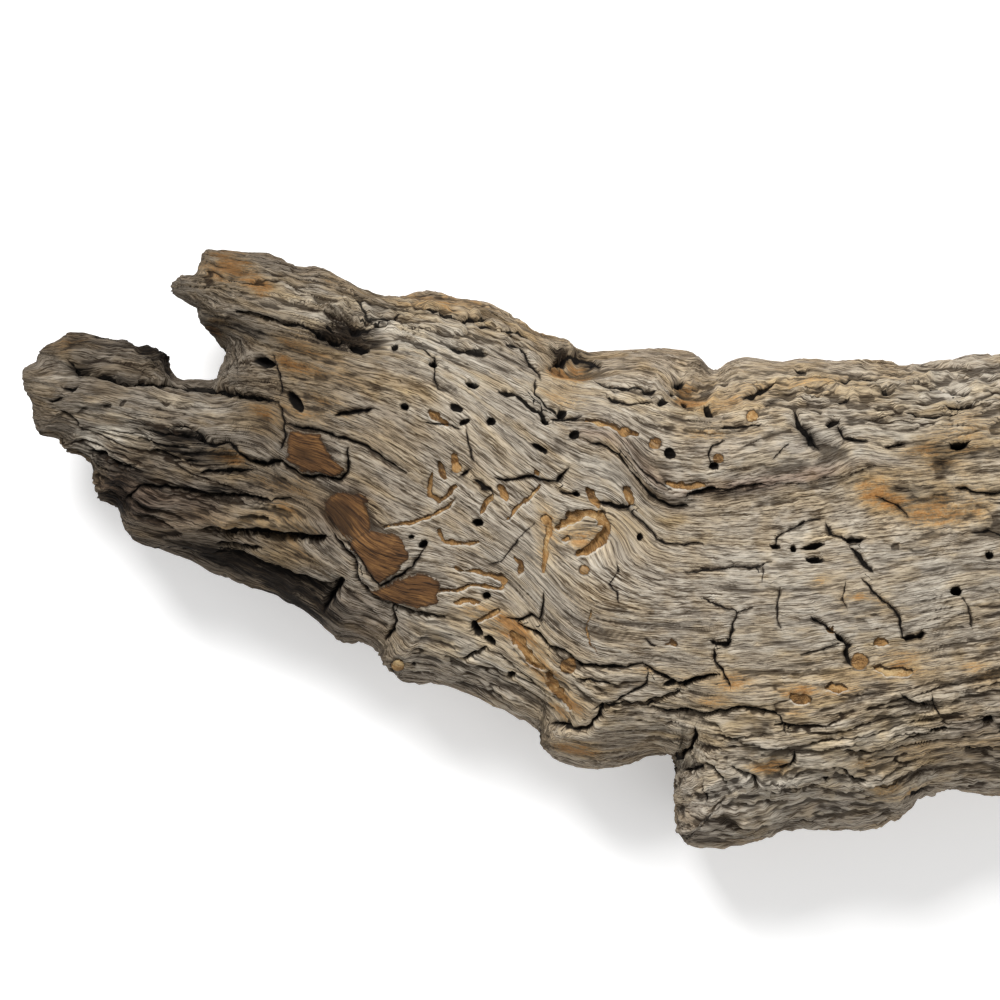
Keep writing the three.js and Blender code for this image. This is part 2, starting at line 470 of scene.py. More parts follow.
# Long drying fissures along the fibres, where a stretched noise passes through nought.
fissure = grain_noise(44, 7.5, 60) + 0.12 * noise(x / 5, y / 5, z / 5, 61)
fissure_share = smooth_step(0.05, 0.4, grain_noise(50, 22, 62) + 0.45 * flaky - 0.1) * (0.2 + 0.8 * flaky)
relief -= 1.9 * np.exp(-(fissure / 0.07) ** 2) * fissure_share * fine_share


# ---- Cracks, galleries and holes -----------------------------------------------------------------------
# The wood dried and split in the sun, mostly along the fibres and in short steps across them. Beetle
# larvae then ate galleries under the bark and packed them with orange dust, and the adults left by
# round holes. All of them are cut into the skin; the places are in millimetres on the upper face.

FAR = 6.0      # millimetres from which a crack or a gallery no longer matters
split_side = np.full(shape, FAR)      # distance to the middle of the nearest crack, negative on its right
split_width = np.full(shape, -FAR)    # half the width of that crack, and far below nought away from it
dust_in = np.full(shape, -FAR)        # distance in from the edge of a gallery, negative outside it
dust_lit = np.full(shape, -FAR)       # the same for the part of a gallery's floor that the light reaches
hole_in = np.full(shape, -FAR)        # distance in from the edge of a hole


def along_line(points, wander=1.0, reach=30.0):
    """For the part of the skin round a line through the points: which points of the skin these are,
    their distance to it (negative on its right), and how far along it they lie, from 0 to 1."""
    path = np.array(points, float)
    inside = ((x > path[:, 0].min() - reach) & (x < path[:, 0].max() + reach)
              & (y > path[:, 1].min() - reach) & (y < path[:, 1].max() + reach) & (facing_up > 0))
    px = x[inside] + wander * wander_x[inside]
    py = y[inside] + wander * wander_y[inside]
    lengths = np.hypot(*np.diff(path, axis=0).T)
    starts = np.concatenate([[0], np.cumsum(lengths)[:-1]])
    best = np.full(px.shape, np.inf)
    side = np.ones(px.shape)
    place = np.zeros(px.shape)
    for (ax, ay), (bx, by), length, start in zip(path, path[1:], lengths, starts):
        dx, dy = (bx - ax) / length, (by - ay) / length
        forward = np.clip((px - ax) * dx + (py - ay) * dy, 0, length)
        off_x, off_y = px - ax - forward * dx, py - ay - forward * dy
        away = np.hypot(off_x, off_y)
        nearer = away < best
        best = np.where(nearer, away, best)
        side = np.where(nearer, np.where(dx * off_y - dy * off_x < 0, -1.0, 1.0), side)
        place = np.where(nearer, (start + forward) / lengths.sum(), place)
    return inside, best * side, place


# Drying cracks: [half-width, depth, how much lower its right side lies, its points].
CRACKS = [
    # the short prong and the top of the fork
    [1.3, 6, 0.8, (-212, 118), (-204, 116), (-190, 112.5), (-184, 112), (-175, 110), (-165, 106)],
    [2.0, 7, 1.0, (-172, 108), (-166, 105), (-160, 106)],
    [1.4, 5, 0.0, (-157, 114), (-151, 112), (-145, 112), (-139, 113)],
    [0.7, 3, 0.5, (-156, 124), (-151.5, 120), (-147.5, 115), (-140, 115), (-130, 114.5)],
    [1.4, 4, 1.0, (-125, 120), (-114, 118), (-107.5, 114), (-97.5, 115), (-87.5, 114)],
    [0.8, 3, 0.6, (-95, 112), (-84, 109), (-74, 108), (-68, 106)],
    [0.6, 3, 0.0, (-127.5, 103.5), (-120, 99), (-114, 95), (-115.5, 85), (-113.5, 80), (-109, 78.5)],
    [2.2, 3, 0.0, (-108.5, 102), (-100, 99), (-89.5, 97.5)],
    [1.0, 3, 0.4, (-79, 103), (-73, 100), (-66, 92), (-63, 85)],
    # the long prong
    [1.5, 6, 1.6, (-275, 85.5), (-261.5, 84), (-243, 83), (-232.5, 81.5), (-214, 78), (-197, 74),
     (-192, 72.5)],
    [0.8, 4, 0.5, (-192, 72.5), (-190, 67), (-188.5, 63), (-188.5, 57), (-190.5, 49)],
    [0.9, 5, 1.0, (-188.5, 63), (-181, 60.5), (-170, 58), (-160, 55.5), (-147.5, 51), (-140, 45),
     (-129.5, 37.5)],
    [1.8, 5, 0.0, (-164, 66.5), (-157, 68), (-145, 69.5)],
    [1.1, 5, 1.4, (-246, 62), (-237, 61), (-229, 56), (-223, 51), (-216, 53.5), (-211, 48), (-204, 44)],
    [2.0, 7, 1.2, (-205, 44), (-198, 42.5), (-190, 43)],
    [1.1, 5, 1.2, (-190, 43), (-184.5, 39), (-178.5, 36), (-172, 36), (-162, 34.5), (-158, 38.5),
     (-157, 50)],
    [1.2, 5, 1.6, (-268, 26), (-262, 31), (-250, 30.5), (-235, 27.5), (-229, 26), (-204, 25.5),
     (-186.5, 25.5)],
    [2.6, 10, 2.5, (-232, 9), (-216, 8), (-202, 7.5), (-185, 6), (-169, 5.5)],
    [1.6, 5, 1.5, (-286, 89), (-278, 86), (-268, 84), (-258, 84)],
    [1.2, 4, 1.0, (-298, 95), (-292, 93), (-286, 90)],
    [1.0, 3, 0.5, (-300, 81), (-295, 79), (-292, 80.5)],
    [0.9, 3, 0.8, (-307, 74), (-300, 75)],
    [1.0, 4, 1.0, (-302, 69), (-295, 65), (-291, 61)],
    [1.0, 4, 1.2, (-258, 60), (-240, 58), (-225, 53)],
    [1.0, 4, 1.0, (-262, 54), (-248, 52), (-236, 50)],
    [1.1, 4, 1.0, (-256, 48), (-244, 45), (-232, 45)],
    [1.6, 4, 1.5, (-285, 49), (-277, 44), (-266, 40)],
    [1.8, 4, 1.5, (-230, 38), (-220, 39), (-205, 39.5)],
    [0.6, 3, 0.0, (-194, 96), (-192.5, 86.5), (-191, 78)],
    [1.8, 5, 1.0, (-224, 0), (-212, 0.5), (-202, 0)],
    [1.6, 6, 5.0, (-224, -4), (-216, -5), (-204, -8), (-191, -12), (-180, -16), (-172, -18), (-162, -19)],
    [1.2, 4, 1.5, (-256, 1), (-244, -1), (-234, -4)],
    # the middle, round the bark patches
    [0.9, 4, 0.6, (-157.5, 4), (-153.5, -2.5), (-147.5, -11), (-141.5, -17), (-132.5, -13.5),
     (-125, -8.5), (-120.5, 0)],
    [1.6, 6, 1.4, (-164, 6), (-155, -6), (-152.5, -15), (-147.5, -21), (-140, -26), (-135, -28.5),
     (-125, -32), (-110, -33.5)],
    [1.3, 5, 0.5, (-136, -29.5), (-135, -36), (-136.5, -41), (-140, -46)],
    [2.5, 8, 1.5, (-161, -15), (-165, -18.5), (-167.5, -26), (-170, -31)],
    [1.7, 4, 1.0, (-82.5, 78), (-75, 77.5), (-70, 73), (-63.5, 69), (-58.5, 64)],
    [0.8, 3, 0.5, (-65, 84), (-65, 76.5), (-60, 71.5), (-54, 68), (-51.5, 67.5)],
    [0.8, 3, 0.4, (-121, 64), (-112, 61.5), (-102, 60)],
    [1.5, 4, 0.0, (-96, 35), (-91, 31), (-86, 28)],
    [1.0, 3, 0.3, (-58, 66), (-50, 66), (-43, 66)],
    [0.6, 3, 0.0, (-98.5, 59), (-98.5, 51.5), (-95.5, 44)],
    [1.3, 4, 0.0, (-102.5, 36.5), (-98, 39.5)],
    [1.2, 4, 0.5, (-85, 35), (-77.5, 34), (-67.5, 36.5), (-62.5, 34), (-55, 34), (-49, 40)],
    [1.1, 4, 0.0, (-52.5, 29), (-45, 28)],
    [1.6, 5, 1.0, (-34, 24), (-30, 22.5), (-23.5, 21), (-16, 22.5)],
    [0.5, 2, 0.3, (-88, -8), (-82.5, -6), (-72.5, 6.5), (-66, 13)],
    [1.0, 4, 0.5, (-80, -33.5), (-72.5, -35), (-67.5, -32), (-62.5, -35), (-61, -26), (-60.5, -21)],
    [1.3, 5, 1.0, (-74, -37), (-65, -41), (-57.5, -48.5), (-50, -51), (-42.5, -57), (-32.5, -57.5),
     (-12.5, -57)],
    [1.4, 5, 0.8, (-12.5, -57), (-5, -60), (1.5, -64), (7.5, -67), (12.5, -65), (17.5, -63), (25, -62)],
    [1.2, 4, 0.6, (2, -65), (7.5, -68), (13, -65)],
    [1.0, 4, 0.5, (-45, -63.5), (-32.5, -65), (-25, -67)],
    [0.7, 3, 0.3, (-10, -58.5), (-11, -66.5), (-17.5, -71), (-25, -75), (-32.5, -76.5)],
    [1.5, 5, 0.8, (-36, -79), (-30, -77.5), (-12.5, -76), (-2.5, -73), (5.5, -71.5)],
    [1.1, 5, 2.5, (-31.5, -78.5), (-32.5, -83.5), (-36.5, -87), (-40, -89.5), (-47.5, -89.5),
     (-57.5, -87.5)],
    [1.2, 4, 1.0, (-7.5, -78.5), (2.5, -80), (12.5, -82), (25, -81), (35, -78.5), (47.5, -79), (55, -80),
     (57.5, -89)],
    [1.6, 5, 0.0, (13.5, -88.5), (13.5, -93.5), (11.5, -98.5), (7.5, -101), (2.5, -102)],
    [0.5, 2, 0.2, (-25, -6), (-24, -11), (-28.5, -16), (-25, -21), (-24, -26)],
    [1.0, 4, 0.6, (-110, -53.5), (-102.5, -53.5), (-96.5, -52), (-90, -48.5)],
    [0.7, 3, 0.5, (-22.5, 24), (-17, 19), (-12.5, 14), (-5, 5.5), (0, 3.5), (17.5, 3.5)],
    [0.9, 3, 0.0, (-10, -43.5), (-7.5, -46), (-5, -47)],
    [1.2, 3, 0.0, (-58, 92.5), (-53, 96), (-47, 97), (-40, 95), (-33, 91.5)],
    [0.8, 3, 0.6, (-36, 84), (-26, 80), (-14, 80), (-4, 78)],
    [0.7, 3, 0.5, (-30, 76), (-18, 73), (-8, 74)],
    # the seam where the big fold meets the face
    [0.9, 4, 0.8, (-40, 54), (-31, 52), (-24, 46), (-18, 38)],
    [1.1, 5, 1.4, (-18, 38), (-12, 32), (-4, 25), (3, 22), (10, 21.5)],
    [0.8, 4, 1.0, (10, 29), (25, 30), (39, 31), (50, 33)],
    [0.4, 1.5, 0.8, (50, 32), (70, 34), (88, 37), (102, 41)],
    [0.6, 3, 0.5, (-22, 50), (-14, 41), (-6, 34), (2, 31)],
    # the right half
    [2.0, 6, 0.6, (63, 69), (66, 61.5), (69, 56.5), (70, 51.5), (73.5, 49)],
    [1.8, 4, 0.8, (84, 61), (86.5, 55.5), (92.5, 54), (97.5, 54)],
    [0.5, 2, 0.2, (52.5, 44), (56.5, 49), (60, 52.5)],
    [0.7, 3, 0.3, (23, 41), (20.5, 46.5), (22.5, 52.5), (27.5, 54)],
    [0.8, 3, 0.4, (53.5, 1.5), (53.5, 5.5), (60, 9), (67.5, 14), (75, 15.5)],
    [0.9, 4, 0.5, (77.5, 13), (81, 7.5), (87.5, 5.5), (97, 5.5)],
    [2.0, 5, 0.0, (88, 4.5), (96, 5)],
    [0.7, 3, 0.4, (51.5, -6), (42.5, -8.5), (25, -9.5), (8, -11)],
    [0.5, 2, 0.0, (46.5, -8.5), (46.5, -15)],
    [2.0, 4, 1.0, (90, 1.5), (96.5, -6), (100.5, -11)],
    [1.0, 5, 0.6, (96.5, -15), (101.5, -21), (107.5, -26), (111.5, -28.5), (114, -36), (116, -42)],
    [2.2, 6, 0.6, (116, -42), (121, -42), (126.5, -41.5)],
    [0.5, 2, 0.2, (87.5, -16), (86.5, -23.5), (87.5, -28.5)],
    [0.7, 3, 0.4, (17.5, -23.5), (22.5, -26), (30, -29.5), (35, -30), (42.5, -27.5)],
    [0.9, 4, 0.4, (34, -30), (33, -36), (31.5, -42), (30, -46)],
    [1.8, 5, 0.4, (21.5, -44.5), (27.5, -46), (31.5, -45)],
    [1.2, 5, 0.4, (23.5, -48.5), (22.5, -53.5), (26.5, -60), (29.5, -67)],
    [0.6, 3, 0.2, (55, -18), (53.5, -28.5), (53.5, -33.5), (55.5, -38.5)],
    [1.1, 4, 0.5, (70, -32.5), (77.5, -37), (82.5, -41)],
    [1.8, 6, 0.5, (83.5, -42), (89, -47), (87.5, -50), (89, -56)],
    [0.6, 3, 0.4, (66, -51), (77.5, -48.5), (85, -46)],
    [0.5, 3, 0.2, (145, -23.5), (148.5, -28.5), (150, -38.5)],
    [1.6, 6, 2.5, (31.5, -107.5), (36, -111), (42.5, -113.5), (47.5, -118.5), (57.5, -120), (67.5, -121),
     (75, -118.5)],
    [0.9, 4, 0.5, (62.5, -101), (61.5, -107), (55, -108.5)],
    [1.2, 5, 1.0, (80, -108.5), (87.5, -110), (91.5, -116), (97.5, -115)],
    [1.3, 4, 1.0, (87.5, -100), (92.5, -101), (100, -100), (107.5, -98.5)],
    [0.9, 3, 0.4, (103.5, 26.5), (112.5, 21.5), (118.5, 16.5)],
    [1.2, 4, 0.8, (9, 27), (17.5, 29), (25, 31)],
    [1.4, 4, 0.8, (105, 79), (112, 77.5)],
    [1.6, 4, 0.8, (137.5, 71.5), (150, 71.5)],
    [2.2, 5, 0.5, (139, 52), (143, 51), (148, 53.5)],
    [1.6, 4, 1.2, (37, 76), (44, 79.5), (53, 84)],
    [2.0, 5, 0.8, (78, 62), (84, 66)],
    [1.5, 4, 1.2, (64, 90), (70, 89.5)],
    [1.2, 3, 0.8, (84, 74.5), (89, 76)],
    [1.0, 3, 0.8, (118, 68), (132, 66), (143, 68)],
    [1.0, 3, 0.6, (24, 60), (36, 62), (46, 61)],
    [1.2, 4, 0.8, (128, 82), (138, 79), (150, 78)],
    [0.9, 3, 0.6, (150, 8), (158, 10), (166, 6)],
    [1.0, 3, 0.6, (84, 84), (96, 86), (104, 84)],
    [1.0, 4, 0.8, (107, 50), (117, 52)],
    [1.3, 4, 0.8, (142, 31), (155, 28), (166, 29)],
    [2.0, 6, 0.5, (20, -106), (25, -110), (28.5, -116)],
    [1.0, 4, 0.5, (11, -110), (14, -108.5), (18.5, -107)],
    [0.9, 3, 0.3, (18, -116), (18, -126)],
    [0.7, 3, 0.5, (130, -71), (131.5, -78.5), (135, -82.5), (142, -81)],
    [1.0, 4, 0.6, (115, -71), (120, -76), (127, -77)],
    [1.2, 4, 1.0, (122, -91), (132, -90), (140, -88.5)],
    [2.0, 5, 1.0, (118, -125), (125, -122), (131, -119)],
    [1.1, 4, 0.6, (52, -86), (62, -87), (75, -87)],
    [1.5, 4, 0.8, (140, -98), (150, -101), (160, -101)],
    # the broken end, beyond
    [1.4, 6, 1.2, (190, 40), (215, 38), (240, 30), (262, 28), (290, 14)],
    [1.2, 6, 1.0, (182, -20), (205, -24), (235, -20), (270, -26), (310, -22)],
    [1.5, 6, 1.4, (200, -70), (228, -66), (252, -70), (282, -62)],
    [1.0, 5, 0.8, (205, 70), (230, 66), (256, 52)],
]

STEP_REACH = 8         # how far from a crack its lower side has risen again
# A crack's painted shade, near black, reaches this far from its middle.
CRACK_REACH = 3.2      # how far from its middle a crack can be painted
for half_width, deep, step, *points in CRACKS:
    inside, away, place = along_line(points)
    taper = np.clip(np.minimum(place, 1 - place) * 6 + 0.12, 0, 1) ** 0.7
    wide = half_width * taper * (0.5 + 0.35 * noise(x[inside] / 3.5, y[inside] / 3.5, z[inside] / 3.5, 40))
    cut = np.exp(-(away / (wide + 0.45)) ** 2) * np.minimum(1, 0.3 + wide)
    cut *= smooth_step(0.5, 5, inwards[inside])
    shadow = np.where(away < 0, 1, -0.25) * np.exp(-np.abs(away) / STEP_REACH)
    relief[inside] -= (deep * cut + step * shadow * taper) * facing_up[inside]
    nearer = np.abs(away) - wide < np.abs(split_side[inside]) - split_width[inside]
    nearer &= np.abs(away) < CRACK_REACH
    split_side[inside] = np.where(nearer, away, split_side[inside])
    split_width[inside] = np.where(nearer, wide - 0.12, split_width[inside])

# Galleries packed with dust: [half-width, depth, its points].
GALLERIES = [
    [2.4, 2.6, (-117.5, 68), (-113, 65), (-109, 61)],
    [2.3, 2.4, (-106, 47), (-105, 44), (-104, 41)],
    [2.2, 2.4, (-112.5, 43), (-111, 39), (-110, 36)],
    [1.5, 2.0, (-116, 38), (-118, 31), (-117, 27), (-112, 24.5), (-108.5, 27), (-105, 31.5)],
    [2.8, 2.6, (-82.5, 31.5), (-81, 28), (-80, 25)],
    [2.0, 2.0, (-65, 39), (-64, 37)],
    [1.6, 2.0, (-63.5, 31.5), (-67.5, 26.5), (-74, 21.5), (-78.5, 16.5)],
    [2.9, 2.8, (-39, 30), (-37, 27), (-34, 21.5)],
    [2.7, 2.8, (-21.5, 30.5), (-19, 27), (-17, 23.5)],
    [3.4, 3.8, (-53.5, 11.5), (-47.5, 16.5), (-37.5, 19), (-31.5, 16.5), (-30, 10), (-33, 4),
     (-40, -0.5), (-43.5, -2)],
    [1.9, 2.2, (-57, 15), (-58, 9), (-60, 1.5), (-61, -6), (-60.5, -11)],
    [2.4, 2.0, (-51, 5.5), (-49, 5.5)],
    [2.0, 2.0, (-75, -4), (-72, -8), (-73, -12)],
    [1.6, 2.2, (-112.5, 9), (-110, 4), (-97.5, 3.5), (-93.5, 4)],
    [1.5, 2.2, (-105, -8.5), (-97.5, -10), (-87.5, -12), (-80, -14.5), (-81, -18.5), (-87.5, -18.5),
     (-97.5, -17), (-105, -20), (-112.5, -20)],
    [1.9, 2.0, (-105, -26), (-97.5, -24.5), (-92.5, -26)],
    [1.8, 2.0, (-86, 27), (-90, 22), (-92, 18)],
    [3.4, 2.2, (-77, -41), (-71.5, -47), (-67.5, -53.5), (-62, -58)],
    [3.0, 2.0, (-59, -61), (-55, -69), (-49, -79)],
    [2.0, 2.2, (-40, 64), (-32.5, 62), (-22.5, 59), (-14, 57.5)],
    [2.0, 2.0, (0, 33.5), (9, 32), (17.5, 31.5)],
    [1.5, 1.8, (-1, -46.5), (2, -45.5), (5, -47.5)],
    [2.3, 2.2, (78, -38), (81, -40)],
    [2.8, 2.2, (102, -46), (108, -46)],
    [2.6, 2.2, (101, -58), (112, -60), (120, -59)],
    [2.8, 2.0, (78, -67.5), (87, -68)],
    [2.8, 2.0, (61, -72), (69, -74)],
    [1.3, 1.8, (-140, 11.5), (-127.5, 13), (-117.5, 16.5), (-110, 20.5), (-105, 25)],
    [1.4, 1.6, (-94, -36), (-88, -33), (-84, -30)],
    [0.8, 1.2, (-37, -29), (-40, -38), (-38.5, -46), (-34.5, -51.5)],
]
LIGHT_SHIFT = 1.0      # how far the shadow of a gallery's far wall reaches over its floor
for half_width, deep, *points in GALLERIES:
    for shift, floor_in in ((0, dust_in), (LIGHT_SHIFT, dust_lit)):
        inside, away, place = along_line([(px, py - shift) for px, py in points], wander=0.85)
        uneven = noise(x[inside] / 3.6, y[inside] / 3.6, z[inside] / 3.6, 41)
        taper = 0.6 + 0.4 * smooth_step(0, 0.2, np.minimum(place, 1 - place))
        wide = half_width * (0.76 + 0.6 * uneven) * taper
        floor_in[inside] = np.maximum(floor_in[inside], np.clip(wide - np.abs(away), -FAR, FAR))
        if shift == 0:
            eaten = smooth_step(-0.5, 0.9, wide - np.abs(away)) * (0.8 + 0.5 * uneven)
            relief[inside] -= 1.2 * deep * eaten

# Round ends of galleries, plugged with dust: [x, y, radius].
PLUGS = [
    [-49, -57.5, 3.8],
    [-6, 52.5, 3.0],
    [41.5, 66.5, 3.2],
    [-41, -10, 2.6],
    [94, -54.5, 4.2],
    [-134.5, -59, 3.8],
    [-21, 58.5, 3.0],
    [-104, 40.5, 2.6],
    [-60, 15, 2.6],
    [25, 45, 2.6],
]
for px, py, radius in PLUGS:
    for shift, floor_in in ((0, dust_in), (LIGHT_SHIFT / 2, dust_lit)):
        away = np.hypot(x + 0.35 * wander_x - px, y + 0.35 * wander_y - py + shift)
        floor_in[:] = np.maximum(floor_in, np.where(upper > 0, np.maximum(radius - away, -FAR), -FAR))
    away = np.hypot(x + 0.35 * wander_x - px, y + 0.35 * wander_y - py)
    relief -= (1.1 * np.exp(-((away - radius) / 0.7) ** 2) + 0.5 * (away < radius)) * upper

# Exit holes and rot holes, open and dark, with painted shade inside the deeper ones: [x, y, half-length,
# half-width, tilt, depth].
HOLES = [
    [-200, 93, 6.0, 2.3, -18, 8],
    [-184, 73.5, 6.5, 2.4, -56, 8],
    [-134.5, 101.5, 2.0, 1.4, 20, 5],
    [-115.5, 92, 2.4, 2.2, 0, 8],
    [-96, 81.5, 3.2, 2.0, -14, 8],
    [-104, 70, 3.4, 1.8, -24, 4],
    [-100, 63, 3.0, 1.6, 20, 4],
    [-129.5, 70.5, 2.2, 1.8, 0, 7],
    [-87, 63.5, 2.4, 2.0, 0, 5],
    [-60, 64, 2.0, 1.6, 0, 5],
    [-52, 68.5, 2.4, 2.0, 0, 6],
    [-45.5, 56.5, 2.6, 2.0, 40, 5],
    [-63, 50, 4.4, 1.5, -32, 6],
    [-93.5, 13.5, 2.8, 2.0, -10, 8],
    [-45, 28, 2.0, 1.5, 0, 6],
    [-89.5, -23, 2.2, 1.6, 0, 7],
    [-94.5, -40, 4.6, 2.2, -66, 9],
    [-88, -45, 3.6, 1.8, -20, 8],
    [-126, 6.5, 1.8, 1.2, 0, 4],
    [-120.5, 2.5, 2.6, 1.7, 40, 6],
    [-125, -57.5, 1.6, 1.2, 0, 5],
    [-77, -62, 2.2, 1.8, 30, 6],
    [53, 1.5, 2.6, 1.4, -8, 6],
    [62, 0.5, 1.5, 1.5, 0, 7],
    [72, 2, 6.2, 1.6, 10, 6],
    [72, -4.5, 4.6, 1.7, -4, 6],
    [112, 1.5, 2.3, 2.0, 0, 2.4],
    [142, -20, 2.9, 2.4, 0, 9],
    [158.5, -2.5, 2.0, 2.0, 0, 8],
    [157.5, -85, 2.9, 2.6, 0, 9],
    [143, 51.5, 4.2, 2.2, 12, 5],
    [77.5, -115, 1.5, 1.3, 0, 6],
    [82.5, -112.5, 1.2, 1.0, 0, 5],
    [23, 41, 2.3, 2.0, 0, 5],
    [-13.5, 6.5, 1.5, 2.0, 0, 4],
    [-152, 102, 5.2, 3.2, -20, 7],
    [-164, 105, 2.8, 2.0, 30, 5],
    [-153, 111, 3.4, 1.8, -16, 5],
    [-166, 111, 3.0, 1.3, -30, 4],
    [6.5, 84, 4.0, 2.0, 10, 6],
    [3, 78, 1.8, 1.5, 0, 5],
    [10, 73.5, 1.8, 1.4, 0, 5],
    [20.5, 68.5, 3.0, 1.8, -50, 4],
    [-2, 73, 3.0, 1.6, 0, 4],
    [1, 47.5, 2.6, 3.2, 30, 4],
    [1, -66.5, 3.2, 1.4, 0, 5],
    [84, -42.5, 2.6, 1.6, -40, 6],
    [-277, 71.5, 2.4, 1.6, 0, 2.4],
    [-269, 72.5, 2.6, 1.5, 30, 2.5],
    [-248.5, 72.5, 2.6, 2.2, 0, 2.4],
    [-277, 86.5, 5.5, 1.8, -14, 5],
    [210, 12, 2.6, 2.4, 0, 8],
    [236, -44, 2.5, 2.2, 0, 8],
    [196, -96, 2.4, 2.2, 0, 8],
    [226, 58, 2.4, 2.2, 0, 8],
]
# Holes deeper than this get painted shade, near black, inside.
SHALLOW_PIT = 2.5      # a hole no deeper than this isn't painted dark
for px, py, half_length, half_width, tilt, deep in HOLES:
    turn = math.radians(tilt)
    off_x, off_y = x + 0.5 * wander_x - px, y + 0.5 * wander_y - py
    forward = (off_x * math.cos(turn) + off_y * math.sin(turn)) / half_length
    sideways = (off_y * math.cos(turn) - off_x * math.sin(turn)) / half_width
    near = np.sqrt(forward ** 2 + sideways ** 2)
    inwards_here = np.where(upper > 0, np.maximum((1 - near) * half_width, -FAR), -FAR)
    relief -= deep * smooth_step(-0.4, 0.9, inwards_here)
    if deep > SHALLOW_PIT:
        hole_in = np.maximum(hole_in, inwards_here)

# Wide hollows rotted into the face: [x, y, half-length, half-width, tilt, depth].
HOLLOWS = [
    [-47, 91, 13, 7, -8, 6.5],
    [11, 79, 9.5, 8, 0, 6],
    [70, 57, 3, 8, 24, 3],
    [-38, 8, 15, 10, -10, 2.5],
    [-240, 88, 14, 4, -8, 4],
    [-290, 91, 8, 4, 0, 4],
    [-268, 86, 9, 3, -12, 4],
    [-296, 103, 8, 4, 20, 3],
    [-100, -67, 9, 3.5, -20, 4],
    [-156, 107, 13, 8, -10, 7],
    [-291, 91, 9, 4, -8, 5],
    [134, 38, 4, 10, 0, 3],
    [162, 12, 6, 7, 0, 4],
    [78, 50, 9, 4, -20, 3],
    [16, -136, 5, 3, 0, 4],
    [31, -136, 5, 3, 0, 4],
    [-56, 48, 5, 14, -28, 2],
    [135, 42, 8, 6, 0, 3],
    [45, -106, 10, 4, 0, 3],
    [-205, -10, 44, 7, -17, 5],
    [90, -126, 26, 8, 6, 3],
]
for *place, deep in HOLLOWS:
    relief -= deep * bell(*place)

# Ridges that stand proud: [half-width, height, its points].
RIDGES = [
    [4.0, 4.0, (-52, 54), (-44, 58), (-32, 57), (-24, 52), (-18, 43), (-10, 33), (0, 28), (16, 30)],
    [2.6, 2.2, (16, 30), (42, 32), (68, 35), (92, 40), (104, 45)],
    [1.8, 2.0, (-9, 42), (-4, 34), (4, 27), (12, 24)],
    [2.4, 2.6, (-172, 119), (-164, 119), (-158, 122)],
    [3.0, 2.4, (-268, 14), (-240, 12), (-218, 15), (-205, 22), (-185, 25)],
    [2.2, 2.8, (-206, 12), (-186, 13), (-170, 11)],
    [1.6, 1.8, (-232, 14), (-222, 19), (-208, 23), (-188, 27)],
    [3.0, 2.4, (-226, 49), (-215, 50), (-206, 42)],
    [2.5, 2.0, (-212, 70), (-203, 72), (-196, 67), (-190, 58)],
    [2.4, 2.0, (-68, 92), (-56, 84), (-44, 82), (-30, 84)],
    [2.2, 1.8, (-64, 102), (-50, 101), (-40, 96), (-30, 90)],
    [2.4, 2.6, (-5, 90), (-6, 79), (1, 70), (11, 67), (21, 71), (25, 80), (22, 89)],
    [2.0, 1.6, (60, -94), (84, -86), (104, -74), (118, -69)],
    [2.2, 1.8, (94, -104), (104, -97), (118, -88)],
    [1.8, 1.5, (-62, -54), (-52, -62), (-42, -76)],
]
for half_width, high, *points in RIDGES:
    inside, away, place = along_line(points)
    taper = smooth_step(0, 0.18, np.minimum(place, 1 - place))
    relief[inside] += high * taper * np.exp(-(away / half_width) ** 2)


# ---- Inner bark ----------------------------------------------------------------------------------------
# Smooth red-brown scales of inner bark that still hold on in the middle. Each is a thin plate
# with a broken edge, standing a little above the weathered wood round it.

BARK = [       # each scale's corners, in turn
    [(-187.5, 59), (-172.5, 56.5), (-167.5, 49), (-160, 39), (-165, 35.5), (-177.5, 39), (-187.5, 44)],
    [(-170, 24), (-162.5, 29), (-150, 26.5), (-145, 16.5), (-147.5, 9), (-155, 4), (-162.5, 9),
     (-170, 16.5)],
    [(-156.5, 4), (-147.5, 10), (-132.5, 6.5), (-126.5, -3.5), (-132.5, -11), (-142.5, -16), (-150, -8.5)],
    [(-147.5, -20), (-132.5, -15), (-122.5, -12), (-112.5, -16), (-112.5, -26), (-122.5, -28.5),
     (-135, -26), (-143.5, -24.5)],
]
BARK_THICKNESS = 1.2
BARK_REACH = 40      # how far from its middle a scale can reach
bark_in = np.full(shape, -FAR)
uneven_bark = grain_noise(9, 2.2, 45) + 0.8 * noise(x / 7, y / 6, z / 6, 46)


def inside_corners(corners):
    """Distance in from the edge of a closed run of corners, negative outside it."""
    ring = np.array(corners, float)
    middle_x, middle_y = ring.mean(axis=0)
    near = (np.abs(x - middle_x) < BARK_REACH) & (np.abs(y - middle_y) < BARK_REACH) & (upper > 0)
    torn = noise(along[near] / 9, fibre[near] / 2.6, z[near] / 9, 48)
    spot_x = x[near] + 0.9 * wander_x[near] + 2.6 * torn
    spot_y = y[near] + 0.9 * wander_y[near] + torn
    spots = np.stack([spot_x, spot_y], axis=1)
    away = distance_to_lines(spots, ring, np.roll(ring, -1, axis=0))
    crossings = np.zeros(len(spots), int)
    for (ax, ay), (bx, by) in zip(ring, np.roll(ring, -1, axis=0)):
        if ay == by:
            continue
        spans = (spots[:, 1] > min(ay, by)) & (spots[:, 1] <= max(ay, by))
        crossings += spans & (spots[:, 0] < ax + (spots[:, 1] - ay) * (bx - ax) / (by - ay))
    return near, np.where(crossings % 2 == 1, away, -away)


for corners in BARK:
    near, depth = inside_corners(corners)
    cover = smooth_step(-0.1, 0.9, depth)
    relief[near] = relief[near] * (1 - 0.55 * cover) + (BARK_THICKNESS + 0.5 * uneven_bark[near]) * cover
    bark_in[near] = np.maximum(bark_in[near], np.clip(depth, -FAR, FAR))


# ---- The finished skin ---------------------------------------------------------------------------------
# The relief stands on the body along its outward direction, and what would reach below the ground
# is worn off nearly flat. The colours need to know the fibre that passes, the hollows and the cracks.

